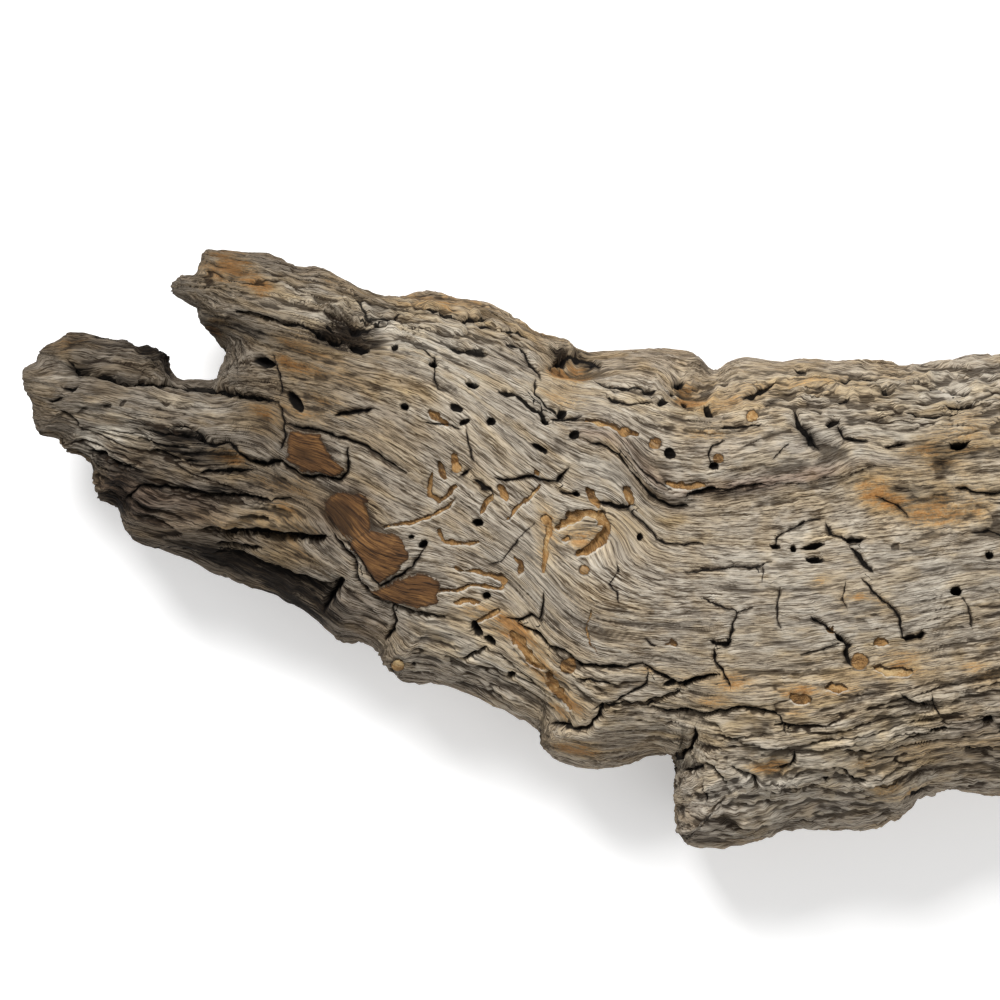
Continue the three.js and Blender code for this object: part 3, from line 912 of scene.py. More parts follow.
def blurred(values, columns, rows):
    """Average over a window of so many rings and points, going round each ring."""
    for count, axis, mode in ((columns, 0, "edge"), (rows, 1, "wrap")):
        pad = [(0, 0), (0, 0)]
        pad[axis] = (count, count)
        total = np.cumsum(np.pad(values, pad, mode=mode), axis=axis)
        length = values.shape[axis]
        ahead = np.take(total, np.arange(2 * count, 2 * count + length), axis=axis)
        behind = np.take(total, np.arange(0, length), axis=axis)
        values = (ahead - behind) / (2 * count)
    return values


DEEPEST, HIGHEST = -12, 7      # limits of the relief
WORN_UNEVEN = 0.4              # the worn underside is not quite flat
TIP_RINGS = 5                  # rings over which the relief fades to nothing at each tip

rings_to_tip = np.minimum(np.arange(COLUMNS), np.arange(COLUMNS)[::-1])
relief *= smooth_step(0, TIP_RINGS, rings_to_tip)[:, None]
relief = np.clip(relief, DEEPEST, HIGHEST)
skin = base + out * relief[..., None]
worn_level = WORN_UNEVEN * (1 + noise(x / 22, y / 12, z / 12, 63))
skin[..., 2] = np.maximum(skin[..., 2], np.maximum(worn_level, 0))
# How far each point lies below what is round it, close by and a little wider; the material paints deep
# brown shade into what lies low.
hollow = np.clip((blurred(relief, 3, 3) - relief) * 0.5 + (blurred(relief, 9, 8) - relief) * 0.35, -1, 1)

# Patches of colour: [x, y, half-length, half-width, tilt, how much].
WARM = [       # orange, where dust has rubbed in and the wood is freshly rotted
    [-158, 108, 3, 3, 0, 0.6],
    [-147, 107, 3, 2, 0, 0.6],
    [-219, 141, 12, 9, -10, 1.1],
    [-204, 132, 8, 5, -40, 0.7],
    [-165, 134, 10, 5, -20, 0.5],
    [-199, 129, 5, 4, -30, 0.5],
    [-112, 123, 22, 5, -8, 0.7],
    [-62, 108, 30, 6, -20, 0.3],
    [-48, 89, 10, 5.5, -8, 1.9],
    [-50, 75, 18, 5, -10, 0.5],
    [-185, 96, 12, 14, -20, 0.55],
    [-167, 90, 22, 9, -16, 0.4],
    [-198, 65, 14, 8, -20, 0.6],
    [-178, 72, 16, 8, -18, 0.5],
    [-214, 45, 12, 5, -15, 0.8],
    [-195, 33, 22, 6, -6, 0.55],
    [-205, 17, 42, 7, 8, 0.45],
    [-185, 8, 20, 5, 0, 0.45],
    [-180, -5, 20, 7, -8, 0.35],
    [-296, 103, 9, 5, 20, 0.6],
    [-250, 66, 8, 6, 0, 0.35],
    [-150, 55, 25, 14, -24, 0.25],
    [-77, -41, 10, 7, -36, 0.8],
    [-63, -56, 16, 7, -50, 0.8],
    [-49, -78, 11, 7, -36, 1.0],
    [-43, -99, 15, 5, -8, 0.9],
    [-95, -30, 16, 8, -6, 0.5],
    [-38, 8, 18, 12, 0, 0.6],
    [-60, 5, 5, 16, 0, 0.5],
    [11, 79, 7, 6, 0, 1.2],
    [-226, 109, 8, 6, 40, 0.9],
    [36, 72, 26, 9, 6, 0.5],
    [30, 57, 34, 4, 4, 0.45],
    [72, 82, 30, 9, 0, 0.35],
    [112, 84, 22, 6, 0, 0.3],
    [132, 46, 24, 12, 10, 0.55],
    [104, 26, 12, 7, -24, 0.8],
    [120, 19, 22, 10, -4, 0.55],
    [146, 22, 18, 12, 4, 0.4],
    [150, 62, 18, 9, 0, 0.3],
    [90, -8, 10, 6, -20, 0.35],
    [75, -15, 5, 3, 0, 0.7],
    [94, -22.5, 5, 3, 0, 0.8],
    [86, -25, 3, 6, 0, 0.6],
    [106, -26, 6, 5, -40, 0.4],
    [112, -56, 22, 8, 4, 0.6],
    [86, -67, 16, 5, 6, 0.6],
    [64, -74, 10, 7, 20, 0.6],
    [40, -66, 30, 7, -6, 0.4],
    [22, -76, 12, 4, 0, 0.5],
    [50, -108, 12, 5, 0, 0.7],
    [98, -104, 26, 8, 10, 0.45],
    [150, -60, 24, 10, 12, 0.4],
    [150, -98, 24, 9, 4, 0.4],
    [112, -120, 16, 7, 20, 0.5],
    [-8, -60, 40, 4, -6, 0.4],
    [220, 30, 40, 20, 0, 0.4],
    [240, -60, 40, 22, 0, 0.4],
]
TAN = [       # yellow-brown, where the grey has flaked off
    [-150, 86, 42, 14, -14, 0.9],
    [-195, 125, 34, 12, -18, 0.6],
    [-120, 119, 45, 8, -10, 0.8],
    [-70, 108, 30, 8, -14, 0.7],
    [-20, 90, 26, 10, 0, 0.6],
    [20, 70, 36, 9, 4, 0.7],
    [58, 84, 60, 12, 2, 0.75],
    [125, 68, 45, 10, 4, 0.4],
    [134, 44, 34, 12, 8, 0.9],
    [125, 22, 40, 14, -6, 0.8],
    [0, 13, 34, 9, -4, 0.7],
    [40, -50, 40, 8, 0, 0.3],
    [90, -62, 80, 14, 6, 0.9],
    [60, -86, 75, 12, 4, 0.8],
    [120, -104, 45, 12, 4, 0.5],
    [-50, -70, 26, 14, -40, 0.8],
    [-90, -45, 30, 14, -24, 0.4],
    [-196, 15, 36, 6, 8, 1.0],
    [-196, -4, 28, 5, -8, 0.8],
    [-178, 92, 16, 12, -14, 0.7],
    [-222, 36, 30, 8, -10, 0.4],
    [-198, 66, 20, 8, -10, 0.6],
    [-296, 101, 12, 6, 10, 0.5],
    [-112, 50, 30, 14, -32, 0.35],
    [-110, 18, 26, 12, -20, 0.3],
    [230, 20, 50, 40, 0, 0.5],
    [230, -70, 50, 30, 0, 0.4],
]
PURPLE = [       # dull purple-brown
    [-246, 22, 36, 9, -14, 0.9],
    [-250, 12, 20, 8, -20, 0.5],
    [-10, 38, 22, 5, -48, 1.0],
    [-36, 56, 13, 3.5, -8, 0.9],
    [22, 30, 30, 3.5, 2, 0.8],
    [72, 37.5, 34, 4, 9, 1.3],
    [40, -132, 60, 12, 4, 0.3],
    [150, -92, 20, 14, 0, 0.4],
    [-270, 30, 14, 14, -50, 0.8],
    [-152, -35, 18, 12, -40, 0.5],
    [-161, 18, 11, 11, -50, 1.3],
    [-178, 48, 10, 8, -40, 0.7],
    [-158, 106, 18, 9, 0, 0.5],
    [30, 50, 30, 7, 0, 0.35],
    [78, 52, 30, 7, 8, 0.3],
    [-190, 30, 24, 6, -8, 0.4],
    [8, 82, 13, 10, 0, 0.3],
]
# The dark patches are painted shade, nearly black, in the clefts, rotted recesses and on the shaded
# underside of the long prong.
DARK = [       # nearly black, in the clefts and rotted recesses
    [-277, 71.5, 3, 2.2, 0, 0.7],
    [-248.5, 72.5, 3, 2.4, 0, 0.6],
    [-246, 57, 24, 5, -16, 0.8],
    [-238, 48, 24, 4, -14, 0.7],
    [-262, 36, 16, 5, -20, 0.5],
    [-266, 100, 24, 3, -10, 0.9],
    [-240, 88, 14, 3, -8, 0.35],
    [-262, 22, 12, 8, -40, 0.7],
    [-236, 30, 26, 2, -4, 0.9],
    [-208, 108, 12, 4, -10, 0.6],
    [-190, 100, 20, 3, -14, 0.5],
    [-150, 122, 22, 2, -14, 0.6],
    [50, 88, 20, 2, 4, 0.5],
    [56, 76, 14, 2, 30, 0.5],
    [104, 78, 20, 2, -6, 0.6],
    [-284, 47, 14, 6, -40, 0.5],
    [-274, 27, 8, 8, -50, 0.8],
    [-300, 58, 10, 7, -20, 0.4],
    [-212, -10, 20, 4, -20, 1.3],
    [-196, -18, 20, 6, -22, 1.5],
    [-180, -26, 16, 7, -26, 1.3],
    [-212, 0, 12, 1.6, 0, 0.9],
    [-240, 1, 22, 3, -16, 0.8],
    [-168, -33, 9, 7, -34, 0.8],
    [-225, 110, 8, 8, 40, 0.8],
    [-158, 107, 13, 7.5, -8, 2.0],
    [-232, 26, 34, 3, -4, 0.4],
    [-240, 56, 24, 4, -16, 0.4],
    [-290, 91, 9, 2.5, -6, 0.8],
    [-270, 86, 11, 2, -12, 0.8],
    [-292, 101, 6, 3, -20, 0.6],
    [-254, 98, 12, 4, -24, 0.6],
    [-50, 98, 9, 2.2, -8, 1.1],
    [-37, 93, 5, 3.5, -30, 0.7],
    [-16, 40, 12, 2, -50, 0.7],
    [-2, 27, 12, 2, -24, 0.9],
    [28, 28, 26, 1.6, 4, 0.8],
    [9, 82, 8, 5, 0, 0.5],
    [70, 56, 3, 9, 24, 0.8],
    [84, 60, 5, 3, -30, 0.5],
    [24, -134, 14, 3, 4, 0.6],
    [50, -122, 24, 1.5, 4, 0.4],
    [14, -107, 7, 4, 0, 0.6],
    [100, -132, 30, 2.5, 8, 0.2],
    [-157, 16, 8, 10, 0, 0.4],
    [135, 40, 4, 9, 0, 0.5],
    [118, 46, 12, 2, 20, 0.5],
    [146, 48, 10, 3, -10, 0.5],
    [110, 31, 10, 1.6, -14, 0.6],
    [118, 24, 22, 10, -4, 0.34],
    [140, 50, 26, 11, 0, 0.24],
    [128, 30, 14, 1.6, 6, 0.5],
    [160, 12, 6, 6, 0, 0.5],
    [76, 54, 6, 8, 50, 0.4],
    [112, 66, 24, 2, 6, 0.5],
    [150, 72, 18, 2, 4, 0.6],
    [100, -98, 16, 2, 12, 0.6],
    [20, -86, 22, 1.6, 2, 0.5],
    [-100, -68, 14, 3, -22, 0.6],
    [-130, 118, 20, 2, -12, 0.5],
    [-92, 117, 14, 2, -14, 0.7],
    [-60, 105, 10, 2.5, -30, 0.6],
]
PALE = [       # bleached
    [-284, 54, 10, 9, 0, 0.9],
    [-270, 62, 18, 12, -10, 0.9],
    [-292, 88, 8, 3, -8, 0.8],
    [-306, 84, 12, 8, 0, 0.4],
    [-240, 74, 22, 5, -10, 0.6],
    [-222, 66, 16, 7, -20, 0.5],
    [-140, 106, 16, 9, -6, 0.8],
    [-118, 100, 20, 12, -20, 0.6],
    [-100, 84, 18, 14, -20, 0.4],
    [-88, 60, 20, 18, -20, 0.25],
    [-150, 44, 12, 8, -20, 0.4],
    [-30, 36, 12, 8, -40, 0.7],
    [-46, 42, 8, 6, 0, 0.5],
    [-10, 10, 16, 14, -30, 0.3],
    [-62, -12, 12, 24, 0, 0.35],
    [64, -16, 20, 6, 0, 0.6],
    [40, -6, 30, 14, 0, 0.15],
    [-170, 118, 40, 9, -14, 0.6],
    [-207, 17, 24, 4, 12, 0.7],
    [70, 8, 8, 5, 0, 0.5],
    [100, 50, 24, 8, 14, 0.6],
    [58, 52, 34, 8, 10, 0.9],
    [128, -16, 30, 12, 4, 0.4],
    [60, -44, 40, 8, 4, 0.4],
    [-66, 78, 10, 8, -30, 0.5],
    [-20, 72, 26, 8, -6, 0.4],
    [-106, -44, 20, 9, -20, 0.45],
    [110, -88, 20, 6, 24, 0.7],
    [80, -96, 30, 4, 8, 0.6],
    [70, -104, 50, 14, 4, 0.35],
    [20, -88, 24, 4, 0, 0.5],
    [50, -112, 30, 5, 6, 0.4],
    [56, -128, 44, 12, 2, 0.6],
    [-90, -56, 26, 6, -26, 0.6],
    [-16, -84, 22, 5, 0, 0.3],
    [-200, 9, 20, 2.5, -3, 0.5],
    [-166, 119, 9, 3, 10, 0.9],
    [130, 80, 34, 10, 0, 0.55],
    [58, 86, 44, 6, 0, 0.35],
    [-64, -66, 26, 10, -46, 0.35],
]


def patches(table, seed):
    """The sum of the oval patches, broken up by noise so that none has a smooth edge."""
    spread = sum(much * bell(*place) for *place, much in table)
    broken = 0.75 + 0.8 * grain_noise(22, 7, seed) + 0.5 * grain_noise(9, 2.6, seed + 1)
    return np.clip(spread * broken, 0, 1)


WARM_UNDERNEATH, TAN_UNDERNEATH = 0.2, 0.5
warm = np.maximum(patches(WARM, 50), (1 - facing_up) * WARM_UNDERNEATH)
tan = np.maximum(patches(TAN, 51), (1 - facing_up) * TAN_UNDERNEATH)
purple = patches(PURPLE, 52)
dark = patches(DARK, 53)
# The right half is a touch paler all over.
pale = np.clip(patches(PALE, 56) + 0.08 * smooth_step(-40, 110, x) * facing_up, 0, 1)
# The prongs are greyer and darker, the short one less so.
darker_prongs = smooth_step(-85, -215, x) * (1 - 0.4 * bell(-205, 128, 50, 26))


def closed_skin():
    """The skin's vertices and faces: the rings joined by four-sided faces, and at each end a fan of
    triangles to one vertex at the middle of the last ring."""
    columns, rows = shape
    vertices = skin.reshape(-1, 3)
    number = np.arange(columns * rows).reshape(columns, rows)
    around = np.roll(number, -1, axis=1)
    quads = np.stack([number[:-1], around[:-1], around[1:], number[1:]], axis=-1).reshape(-1, 4)
    tips = np.array([skin[0].mean(axis=0), skin[-1].mean(axis=0)])
    first, last = len(vertices), len(vertices) + 1
    left = np.stack([np.full(rows, first), around[0], number[0]], axis=1)
    right = np.stack([np.full(rows, last), number[-1], around[-1]], axis=1)
    return np.concatenate([vertices, tips]), quads, np.concatenate([left, right])


MM = 0.001
MOST_TRIANGLES = 196000

vertices, quads, fans = closed_skin()
outline_low, outline_high = base.reshape(-1, 3).min(axis=0), base.reshape(-1, 3).max(axis=0)
# The body is centred in plan on the box of the CAD part.
plan_shift = np.array([
    (cad_low.x + cad_high.x) / 2 / MM - (outline_low[0] + outline_high[0]) / 2,
    (cad_low.y + cad_high.y) / 2 / MM - (outline_low[1] + outline_high[1]) / 2,
    0,
])

mesh = bpy.data.meshes.new("weathered_driftwood")
loops = np.concatenate([quads.ravel(), fans.ravel()])
starts = np.concatenate([np.arange(len(quads)) * 4, len(quads) * 4 + np.arange(len(fans)) * 3])
mesh.vertices.add(len(vertices))
mesh.vertices.foreach_set("co", ((vertices + plan_shift) * MM).ravel())
mesh.loops.add(len(loops))
mesh.loops.foreach_set("vertex_index", loops)
mesh.polygons.add(len(starts))
mesh.polygons.foreach_set("loop_start", starts)
mesh.update(calc_edges=True)
mesh.validate()
mesh.polygons.foreach_set("use_smooth", np.ones(len(mesh.polygons), bool))


def note(name, values):
    """Stores one number for every vertex; a tip takes the average of its ring."""
    tips = [values[0].mean(), values[-1].mean()]
    attribute = mesh.attributes.new(name, "FLOAT", "POINT")
    attribute.data.foreach_set("value", np.append(values.ravel(), tips).astype(np.float32))


notes = {
    "split_side": split_side, "split_width": split_width,
    "fissure": fissure, "fissure_share": fissure_share,
    "dust_in": dust_in, "dust_lit": dust_lit, "hole_in": hole_in, "bark_in": bark_in,
    "flank": 1 - np.clip(out[..., 2], 0, 1), "hollow": hollow,
    "warm": warm, "tan": tan, "purple": purple, "dark": dark, "pale": pale, "darker_prongs": darker_prongs,
}
for name, values in notes.items():
    note(name, values)
grain = np.stack([along, fibre, depth_in_wood], axis=-1)
grain = np.concatenate([grain.reshape(-1, 3), grain[[0, -1], 0]])
attribute = mesh.attributes.new("grain", "FLOAT_VECTOR", "POINT")
attribute.data.foreach_set("vector", grain.astype(np.float32).ravel())

driftwood = bpy.data.objects.new("weathered_driftwood", mesh)
bpy.context.scene.collection.objects.link(driftwood)

# The skin is worked out finer than it needs to be, then thinned where it is smooth, so that the
# cracks and broken edges keep their detail.
triangles = 2 * len(quads) + len(fans)
thin = driftwood.modifiers.new("thin", "DECIMATE")
thin.ratio = MOST_TRIANGLES / triangles
depsgraph = bpy.context.evaluated_depsgraph_get()
thinned = bpy.data.meshes.new_from_object(driftwood.evaluated_get(depsgraph))
driftwood.modifiers.clear()
driftwood.data = thinned
thinned.name = "weathered_driftwood"

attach(driftwood, "root")
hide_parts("driftwood")


# ---- The weathered surface -----------------------------------------------------------------------------
# Bare wood bleached silver-grey by sun and salt: pale streaks and dark pores along the fibres, tan
# where the grey has flaked off, orange dust in the galleries, red bark, and painted shade: near black in
# the cracks, holes and clefts, dark brown in the hollows and on the flanks.

class Wire:
    """One value of a material. Sums and products of wires add the Math nodes that work them out."""

    def __init__(self, paint, socket):
        self.paint, self.socket = paint, socket

    def _maths(self, operation, *others):
        return self.paint.node("ShaderNodeMath", {"operation": operation}, dict(enumerate((self, *others))))

    def __add__(self, other):
        return self._maths("ADD", other)

    def __sub__(self, other):
        return self._maths("SUBTRACT", other)

    def __rsub__(self, other):
        return self.paint.node("ShaderNodeMath", {"operation": "SUBTRACT"}, {0: other, 1: self})

    def __mul__(self, other):
        return self._maths("MULTIPLY", other)

    def size(self):
        return self._maths("ABSOLUTE")

    def clipped(self):
        return self.paint.node("ShaderNodeClamp", {}, {"Value": self})

    def spread(self, low, high):
        """0 below low, 1 above high, and a smooth rise between; high may be the smaller."""
        return self.paint.node("ShaderNodeMapRange", {"interpolation_type": "SMOOTHSTEP"},
                               {"Value": self, "From Min": low, "From Max": high})

    __radd__ = __add__
    __rmul__ = __mul__


class Paint:
    """The nodes of one material."""

    def __init__(self, name):
        self.material = bpy.data.materials.new(name)
        self.material.use_nodes = True
        self.tree = self.material.node_tree
        self.tree.nodes.clear()

    def node(self, kind, settings, inputs, output=0):
        """Adds a node of a type, with its settings made first, then the values or wires of its inputs."""
        made = self.tree.nodes.new(kind)
        for name, value in settings.items():
            setattr(made, name, value)
        for name, value in inputs.items():
            if isinstance(value, Wire):
                self.tree.links.new(value.socket, made.inputs[name])
            else:
                made.inputs[name].default_value = value
        return Wire(self, made.outputs[output]) if made.outputs else None

    def noted(self, name, output="Fac"):
        return self.node("ShaderNodeAttribute", {"attribute_name": name}, {}, output)

    def stretched(self, place, scale, detail, roughness=0.55):
        """Noise on the fibre's own coordinates, with a scale along, across and into the wood."""
        scaled = self.node("ShaderNodeVectorMath", {"operation": "MULTIPLY"}, {0: place, 1: scale})
        return self.node("ShaderNodeTexNoise", {"noise_dimensions": "3D"},
                         {"Vector": scaled, "Scale": 1.0, "Detail": detail, "Roughness": roughness}, "Fac")

    def blend(self, share, first, second, how="MIX"):
        """Mixes two colours by the second one's share, or multiplies the first by the second."""
        return self.node("ShaderNodeMix", {"data_type": "RGBA", "blend_type": how},
                         {0: share, 6: first, 7: second}, output=2)


def sunlit(red, green, blue):
    """A colour as seen, 0 to 255, made into the linear value that the shader takes."""
    return tuple((value / 255) ** 2.2 for value in (red, green, blue)) + (1.0,)


SILVER = sunlit(177, 165, 148)
PALE_SILVER = sunlit(228, 220, 204)
GAP_BROWN = sunlit(87, 75, 61)
DEEP_BROWN = sunlit(46, 36, 27)
SHADE_BLACK = sunlit(16, 12, 9)
BARK_RED = sunlit(138, 101, 61)
BARK_MIDDLE = sunlit(98, 69, 43)
BARK_DARK = sunlit(44, 31, 21)
DUST_PALE = sunlit(204, 176, 130)
DUST_ORANGE = sunlit(164, 126, 80)
DUST_BROWN = sunlit(96, 70, 45)
# Stains, the darkening of the prongs and the painted shade on the flanks and in the clefts colour the wood
# by multiplying what is under them.
TAN_STAIN = (0.95, 0.8, 0.56, 1)
ORANGE_STAIN = (0.84, 0.6, 0.4, 1)
PURPLE_STAIN = (0.55, 0.46, 0.43, 1)
CLEFT_SHADE = (0.1, 0.085, 0.075, 1)
FLANK_SHADE = (0.5, 0.42, 0.34, 1)
PRONG_DARKENING = (0.42, 0.4, 0.385, 1)
BARE_FLOOR_STAIN = (0.8, 0.62, 0.42, 1)

wood = Paint("weathered_wood")
fibres = wood.noted("grain", "Vector")
hollow_here = wood.noted("hollow")
# Noise along the fibres, from broad bands to threads, and finer specks without much direction.
broad_streak = wood.stretched(fibres, (0.016, 0.13, 0.13), 3)
streak = wood.stretched(fibres, (0.095, 1.15, 1.15), 4, 0.62)
thread = wood.stretched(fibres, (0.2, 2.7, 2.7), 3, 0.6)
blotch = wood.stretched(fibres, (0.045, 0.07, 0.07), 3, 0.6)
speck = wood.stretched(fibres, (0.6, 1.3, 1.3), 3, 0.6)
crumbs = wood.stretched(fibres, (1.1, 1.1, 1.1), 4, 0.7)
check = wood.stretched(fibres, (0.022, 0.34, 0.34), 2)

# Bare grey wood: silver streaks over brown gaps, pale and dark threads, and bleached ridges.
grey = wood.blend(streak.spread(0.36, 0.6), GAP_BROWN, SILVER)
pale_thread = thread.spread(0.5, 0.7) * (0.2 + broad_streak.spread(0.35, 0.65) * 0.5)
grey = wood.blend(pale_thread, grey, PALE_SILVER)
grey = wood.blend(thread.spread(0.47, 0.33) * 0.9, grey, DEEP_BROWN)
hairline = (check - 0.5).size()
grey = wood.blend(hairline.spread(0.014, 0.004) * streak.spread(0.56, 0.44) * 0.8, grey, DEEP_BROWN)
proud = hollow_here.spread(-0.05, -0.6)
grey = wood.blend(proud * streak.spread(0.4, 0.6) * 0.35, grey, PALE_SILVER)
pale_here = wood.noted("pale")
grey = wood.blend(pale_here * (0.25 + streak.spread(0.4, 0.6) * 0.5), grey, PALE_SILVER)

# Stains on it, and painted shade in the hollows, on the flanks and in the clefts, the darkest last.
tan_share = wood.noted("tan") * 0.7 + blotch.spread(0.44, 0.62) * 0.45
tan_share = tan_share + broad_streak.spread(0.52, 0.7) * 0.3
grey = wood.blend(tan_share.clipped(), grey, TAN_STAIN, "MULTIPLY")
grey = wood.blend(wood.noted("purple") * 0.9, grey, PURPLE_STAIN, "MULTIPLY")
warm_here = wood.noted("warm") * (0.55 + (streak * 0.6 + crumbs * 0.4).spread(0.4, 0.58) * 0.75)
fresh_wood = wood.blend(speck.spread(0.3, 0.7), SILVER, PALE_SILVER)
grey = wood.blend(warm_here.spread(0.0, 0.7) * 0.4, grey, fresh_wood)
grey = wood.blend(warm_here.spread(0.0, 0.6), grey, TAN_STAIN, "MULTIPLY")
grey = wood.blend(warm_here.spread(0.25, 0.9), grey, ORANGE_STAIN, "MULTIPLY")
# Painted shade, deep brown, in the hollows, less where the wood is orange.
hollow_shade = hollow_here.spread(0.02, 0.55) * (0.75 - warm_here.spread(0.3, 0.9) * 0.55)
grey = wood.blend(hollow_shade, grey, DEEP_BROWN)
# Painted shade on the flanks, darker the more the skin turns from facing up, away from the light above.
grey = wood.blend(wood.noted("flank").spread(0.3, 1.0) * 0.45, grey, FLANK_SHADE, "MULTIPLY")
grey = wood.blend(wood.noted("darker_prongs") * (1 - pale_here * 0.8), grey, PRONG_DARKENING, "MULTIPLY")
# Painted shade, nearly black, over the dark patches.
dark_here = wood.noted("dark")
cleft_shade = dark_here.spread(0.05, 0.7) * (0.65 + streak.spread(0.6, 0.42) * 0.35)
cleft_shade = cleft_shade + dark_here.spread(0.7, 1.0) * 0.3
grey = wood.blend(cleft_shade.clipped(), grey, CLEFT_SHADE, "MULTIPLY")

# Inner bark, with painted shade along its broken edge.
bark_grain = wood.stretched(fibres, (0.1, 1.1, 1.1), 4, 0.65)
bark_colour = wood.blend(bark_grain.spread(0.34, 0.52), BARK_DARK, BARK_MIDDLE)
red_share = bark_grain.spread(0.46, 0.64) * (0.2 + blotch.spread(0.42, 0.58) * 0.8)
bark_colour = wood.blend(red_share, bark_colour, BARK_RED)
bark_colour = wood.blend(wood.noted("purple").spread(0.2, 0.9) * 0.75, bark_colour, BARK_DARK)
bark_in = wood.noted("bark_in") + (crumbs - 0.5) * 2.4 + (streak - 0.5) * 3.0
# Painted shade along the broken edge.
bark_colour = wood.blend(bark_in.spread(1.8, 0.1) * 0.75, bark_colour, BARK_DARK)
bark_here = bark_in.spread(-0.2, 0.3)
colour = wood.blend(bark_here, grey, bark_colour)

# Dust in the galleries: bare floor shows through it in places, the far wall shades it, and the near
# rim of the gallery catches the light.
dust_tone = blotch * 0.6 + crumbs * 0.4
dust_colour = wood.blend(dust_tone.spread(0.4, 0.52), DUST_BROWN, DUST_ORANGE)
dust_colour = wood.blend(dust_tone.spread(0.52, 0.62), dust_colour, DUST_PALE)
dust_edge = (speck - 0.5) * 1.6
in_dust = wood.noted("dust_in") + dust_edge
bare_floor = wood.blend(1.0, grey, BARE_FLOOR_STAIN, "MULTIPLY")
dust_colour = wood.blend(streak.spread(0.5, 0.6) * blotch.spread(0.6, 0.42) * 0.8, dust_colour, bare_floor)
# Painted shade, dark brown, just inside the gallery's edge all round.
dust_colour = wood.blend(in_dust.spread(0.7, 0.1) * 0.4, dust_colour, DUST_BROWN)
in_shade = (wood.noted("dust_lit") + dust_edge).spread(0.35, -0.2)
in_shade = in_shade * (0.6 + blotch.spread(0.42, 0.56) * 0.35)
dust_colour = wood.blend(in_shade, dust_colour, DEEP_BROWN)
lit_rim = (wood.noted("dust_lit") - wood.noted("dust_in")).spread(0.2, 0.8) * in_dust.spread(-1.2, -0.3)
colour = wood.blend(lit_rim * 0.5, colour, PALE_SILVER)
colour = wood.blend(in_dust.spread(-0.12, 0.12), colour, dust_colour)

# Painted shade in the cracks, fissures and holes, with ragged edges: near black in the cracks and holes,
# deep brown in the fissures.
crack_edge = (speck - 0.5) * 1.1
off_crack = (wood.noted("split_side") + crack_edge * 0.8).size()
in_crack = (wood.noted("split_width") - off_crack + crack_edge * 0.4).spread(-0.25, 0.1)
off_fissure = wood.noted("fissure").size()
in_fissure = (off_fissure + (speck - 0.5) * 0.1).spread(0.075, 0.02) * wood.noted("fissure_share")
in_hole = (wood.noted("hole_in") + crack_edge * 0.5).spread(-0.15, 0.2)
colour = wood.blend(in_fissure * 0.85, colour, DEEP_BROWN)
colour = wood.blend(in_crack * 0.93, colour, SHADE_BLACK)
colour = wood.blend(in_hole * 0.95, colour, SHADE_BLACK)

# The finest fibres, too fine for the skin, are a bump no deeper than a millimetre.
height = streak * 0.7 + thread * 0.6 + crumbs * 0.25 - in_fissure * 0.5 - in_crack * 0.8
bump = wood.node("ShaderNodeBump", {}, {"Strength": 1.0, "Distance": MM, "Height": height})
roughness = 0.96 - bark_here * 0.25 - thread.spread(0.5, 0.8) * 0.1
shader = wood.node("ShaderNodeBsdfPrincipled", {}, {
    "Base Color": colour,
    "Roughness": roughness,
    "Specular IOR Level": 0.22,
    "Normal": bump,
})
wood.node("ShaderNodeOutputMaterial", {}, {"Surface": shader})
thinned.materials.clear()
thinned.materials.append(wood.material)


# ---- Floor, lights and camera --------------------------------------------------------------------------
# A plain white floor, a big soft lamp high on the far side, and a camera looking straight down on the
# broad face with a long lens. The broken end lies beyond its view.

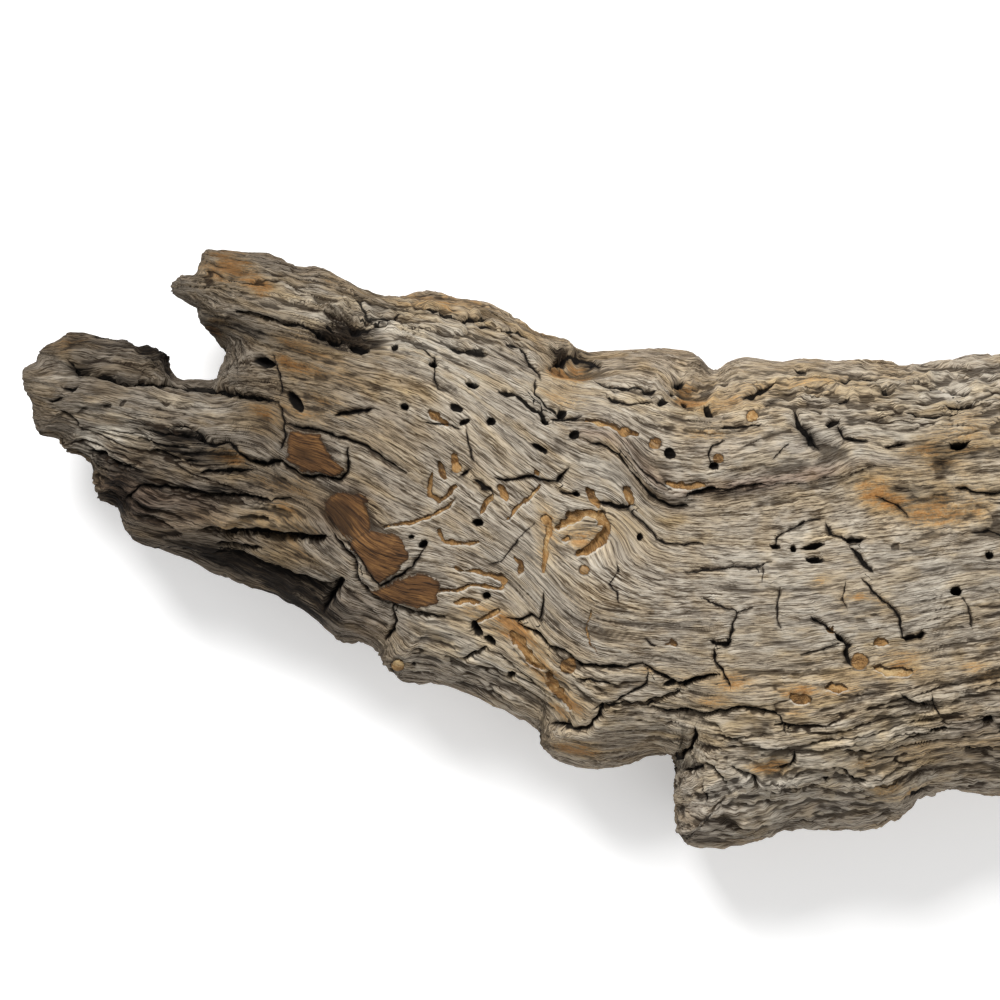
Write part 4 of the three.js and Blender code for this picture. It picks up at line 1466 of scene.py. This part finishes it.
FLOOR_SIZE = 12.0
FLOOR_GAP = 0.0003        # between the worn underside and the floor
LENS_DISTANCE = 3.6       # from the outline's height up to the camera
VIEW_WIDTH = 0.5          # what the picture takes in, at the outline's height
VIEW_CENTRE = Vector((-0.0825, 0.024, 0.052))
SENSOR_WIDTH = 36
LAMPS_AIM = (0, 0, 0.05)
WORLD_STRENGTH = 0.38
WHITE = (1, 1, 1, 1)
FLOOR_WHITE = (0.86, 0.86, 0.86, 1)
FLOOR_GLOW = 0.34         # keeps the floor white where the light is soft

floor_mesh = bpy.data.meshes.new("floor")
half = FLOOR_SIZE / 2
corners = [(-half, -half), (half, -half), (half, half), (-half, half)]
floor_mesh.from_pydata([(*corner, -FLOOR_GAP) for corner in corners], [], [(0, 1, 2, 3)])
floor = bpy.data.objects.new("floor", floor_mesh)
bpy.context.scene.collection.objects.link(floor)
floor_paint = Paint("floor_white")
floor_shader = floor_paint.node("ShaderNodeBsdfPrincipled", {}, {
    "Base Color": FLOOR_WHITE,
    "Roughness": 0.9,
    "Emission Color": WHITE,
    "Emission Strength": FLOOR_GLOW,
})
floor_paint.node("ShaderNodeOutputMaterial", {}, {"Surface": floor_shader})
floor_mesh.materials.append(floor_paint.material)


def lamp(name, place, size, watts):
    """A square soft lamp at a place, turned to face the middle of the wood."""
    light = bpy.data.lights.new(name, "AREA")
    light.size, light.energy = size, watts
    holder = bpy.data.objects.new(name, light)
    holder.location = place
    holder.rotation_euler = (Vector(LAMPS_AIM) - Vector(place)).to_track_quat("-Z", "Y").to_euler()
    bpy.context.scene.collection.objects.link(holder)


lamp("key_lamp", (-0.95, 1.9, 2.5), size=1.1, watts=108)
lamp("fill_lamp", (1.6, -1.4, 2.6), size=2.5, watts=24)
world = bpy.data.worlds.new("studio")
world.use_nodes = True
background = world.node_tree.nodes["Background"]
background.inputs["Color"].default_value = WHITE
background.inputs["Strength"].default_value = WORLD_STRENGTH
bpy.context.scene.world = world
bpy.context.scene.view_settings.view_transform = "Standard"

camera_data = bpy.data.cameras.new("camera")
camera_data.sensor_width = SENSOR_WIDTH
camera_data.lens = SENSOR_WIDTH * LENS_DISTANCE / VIEW_WIDTH
camera_data.clip_end = 50
camera = bpy.data.objects.new("camera", camera_data)
camera.location = VIEW_CENTRE + Vector((0, 0, LENS_DISTANCE))
bpy.context.scene.collection.objects.link(camera)
bpy.context.scene.camera = camera
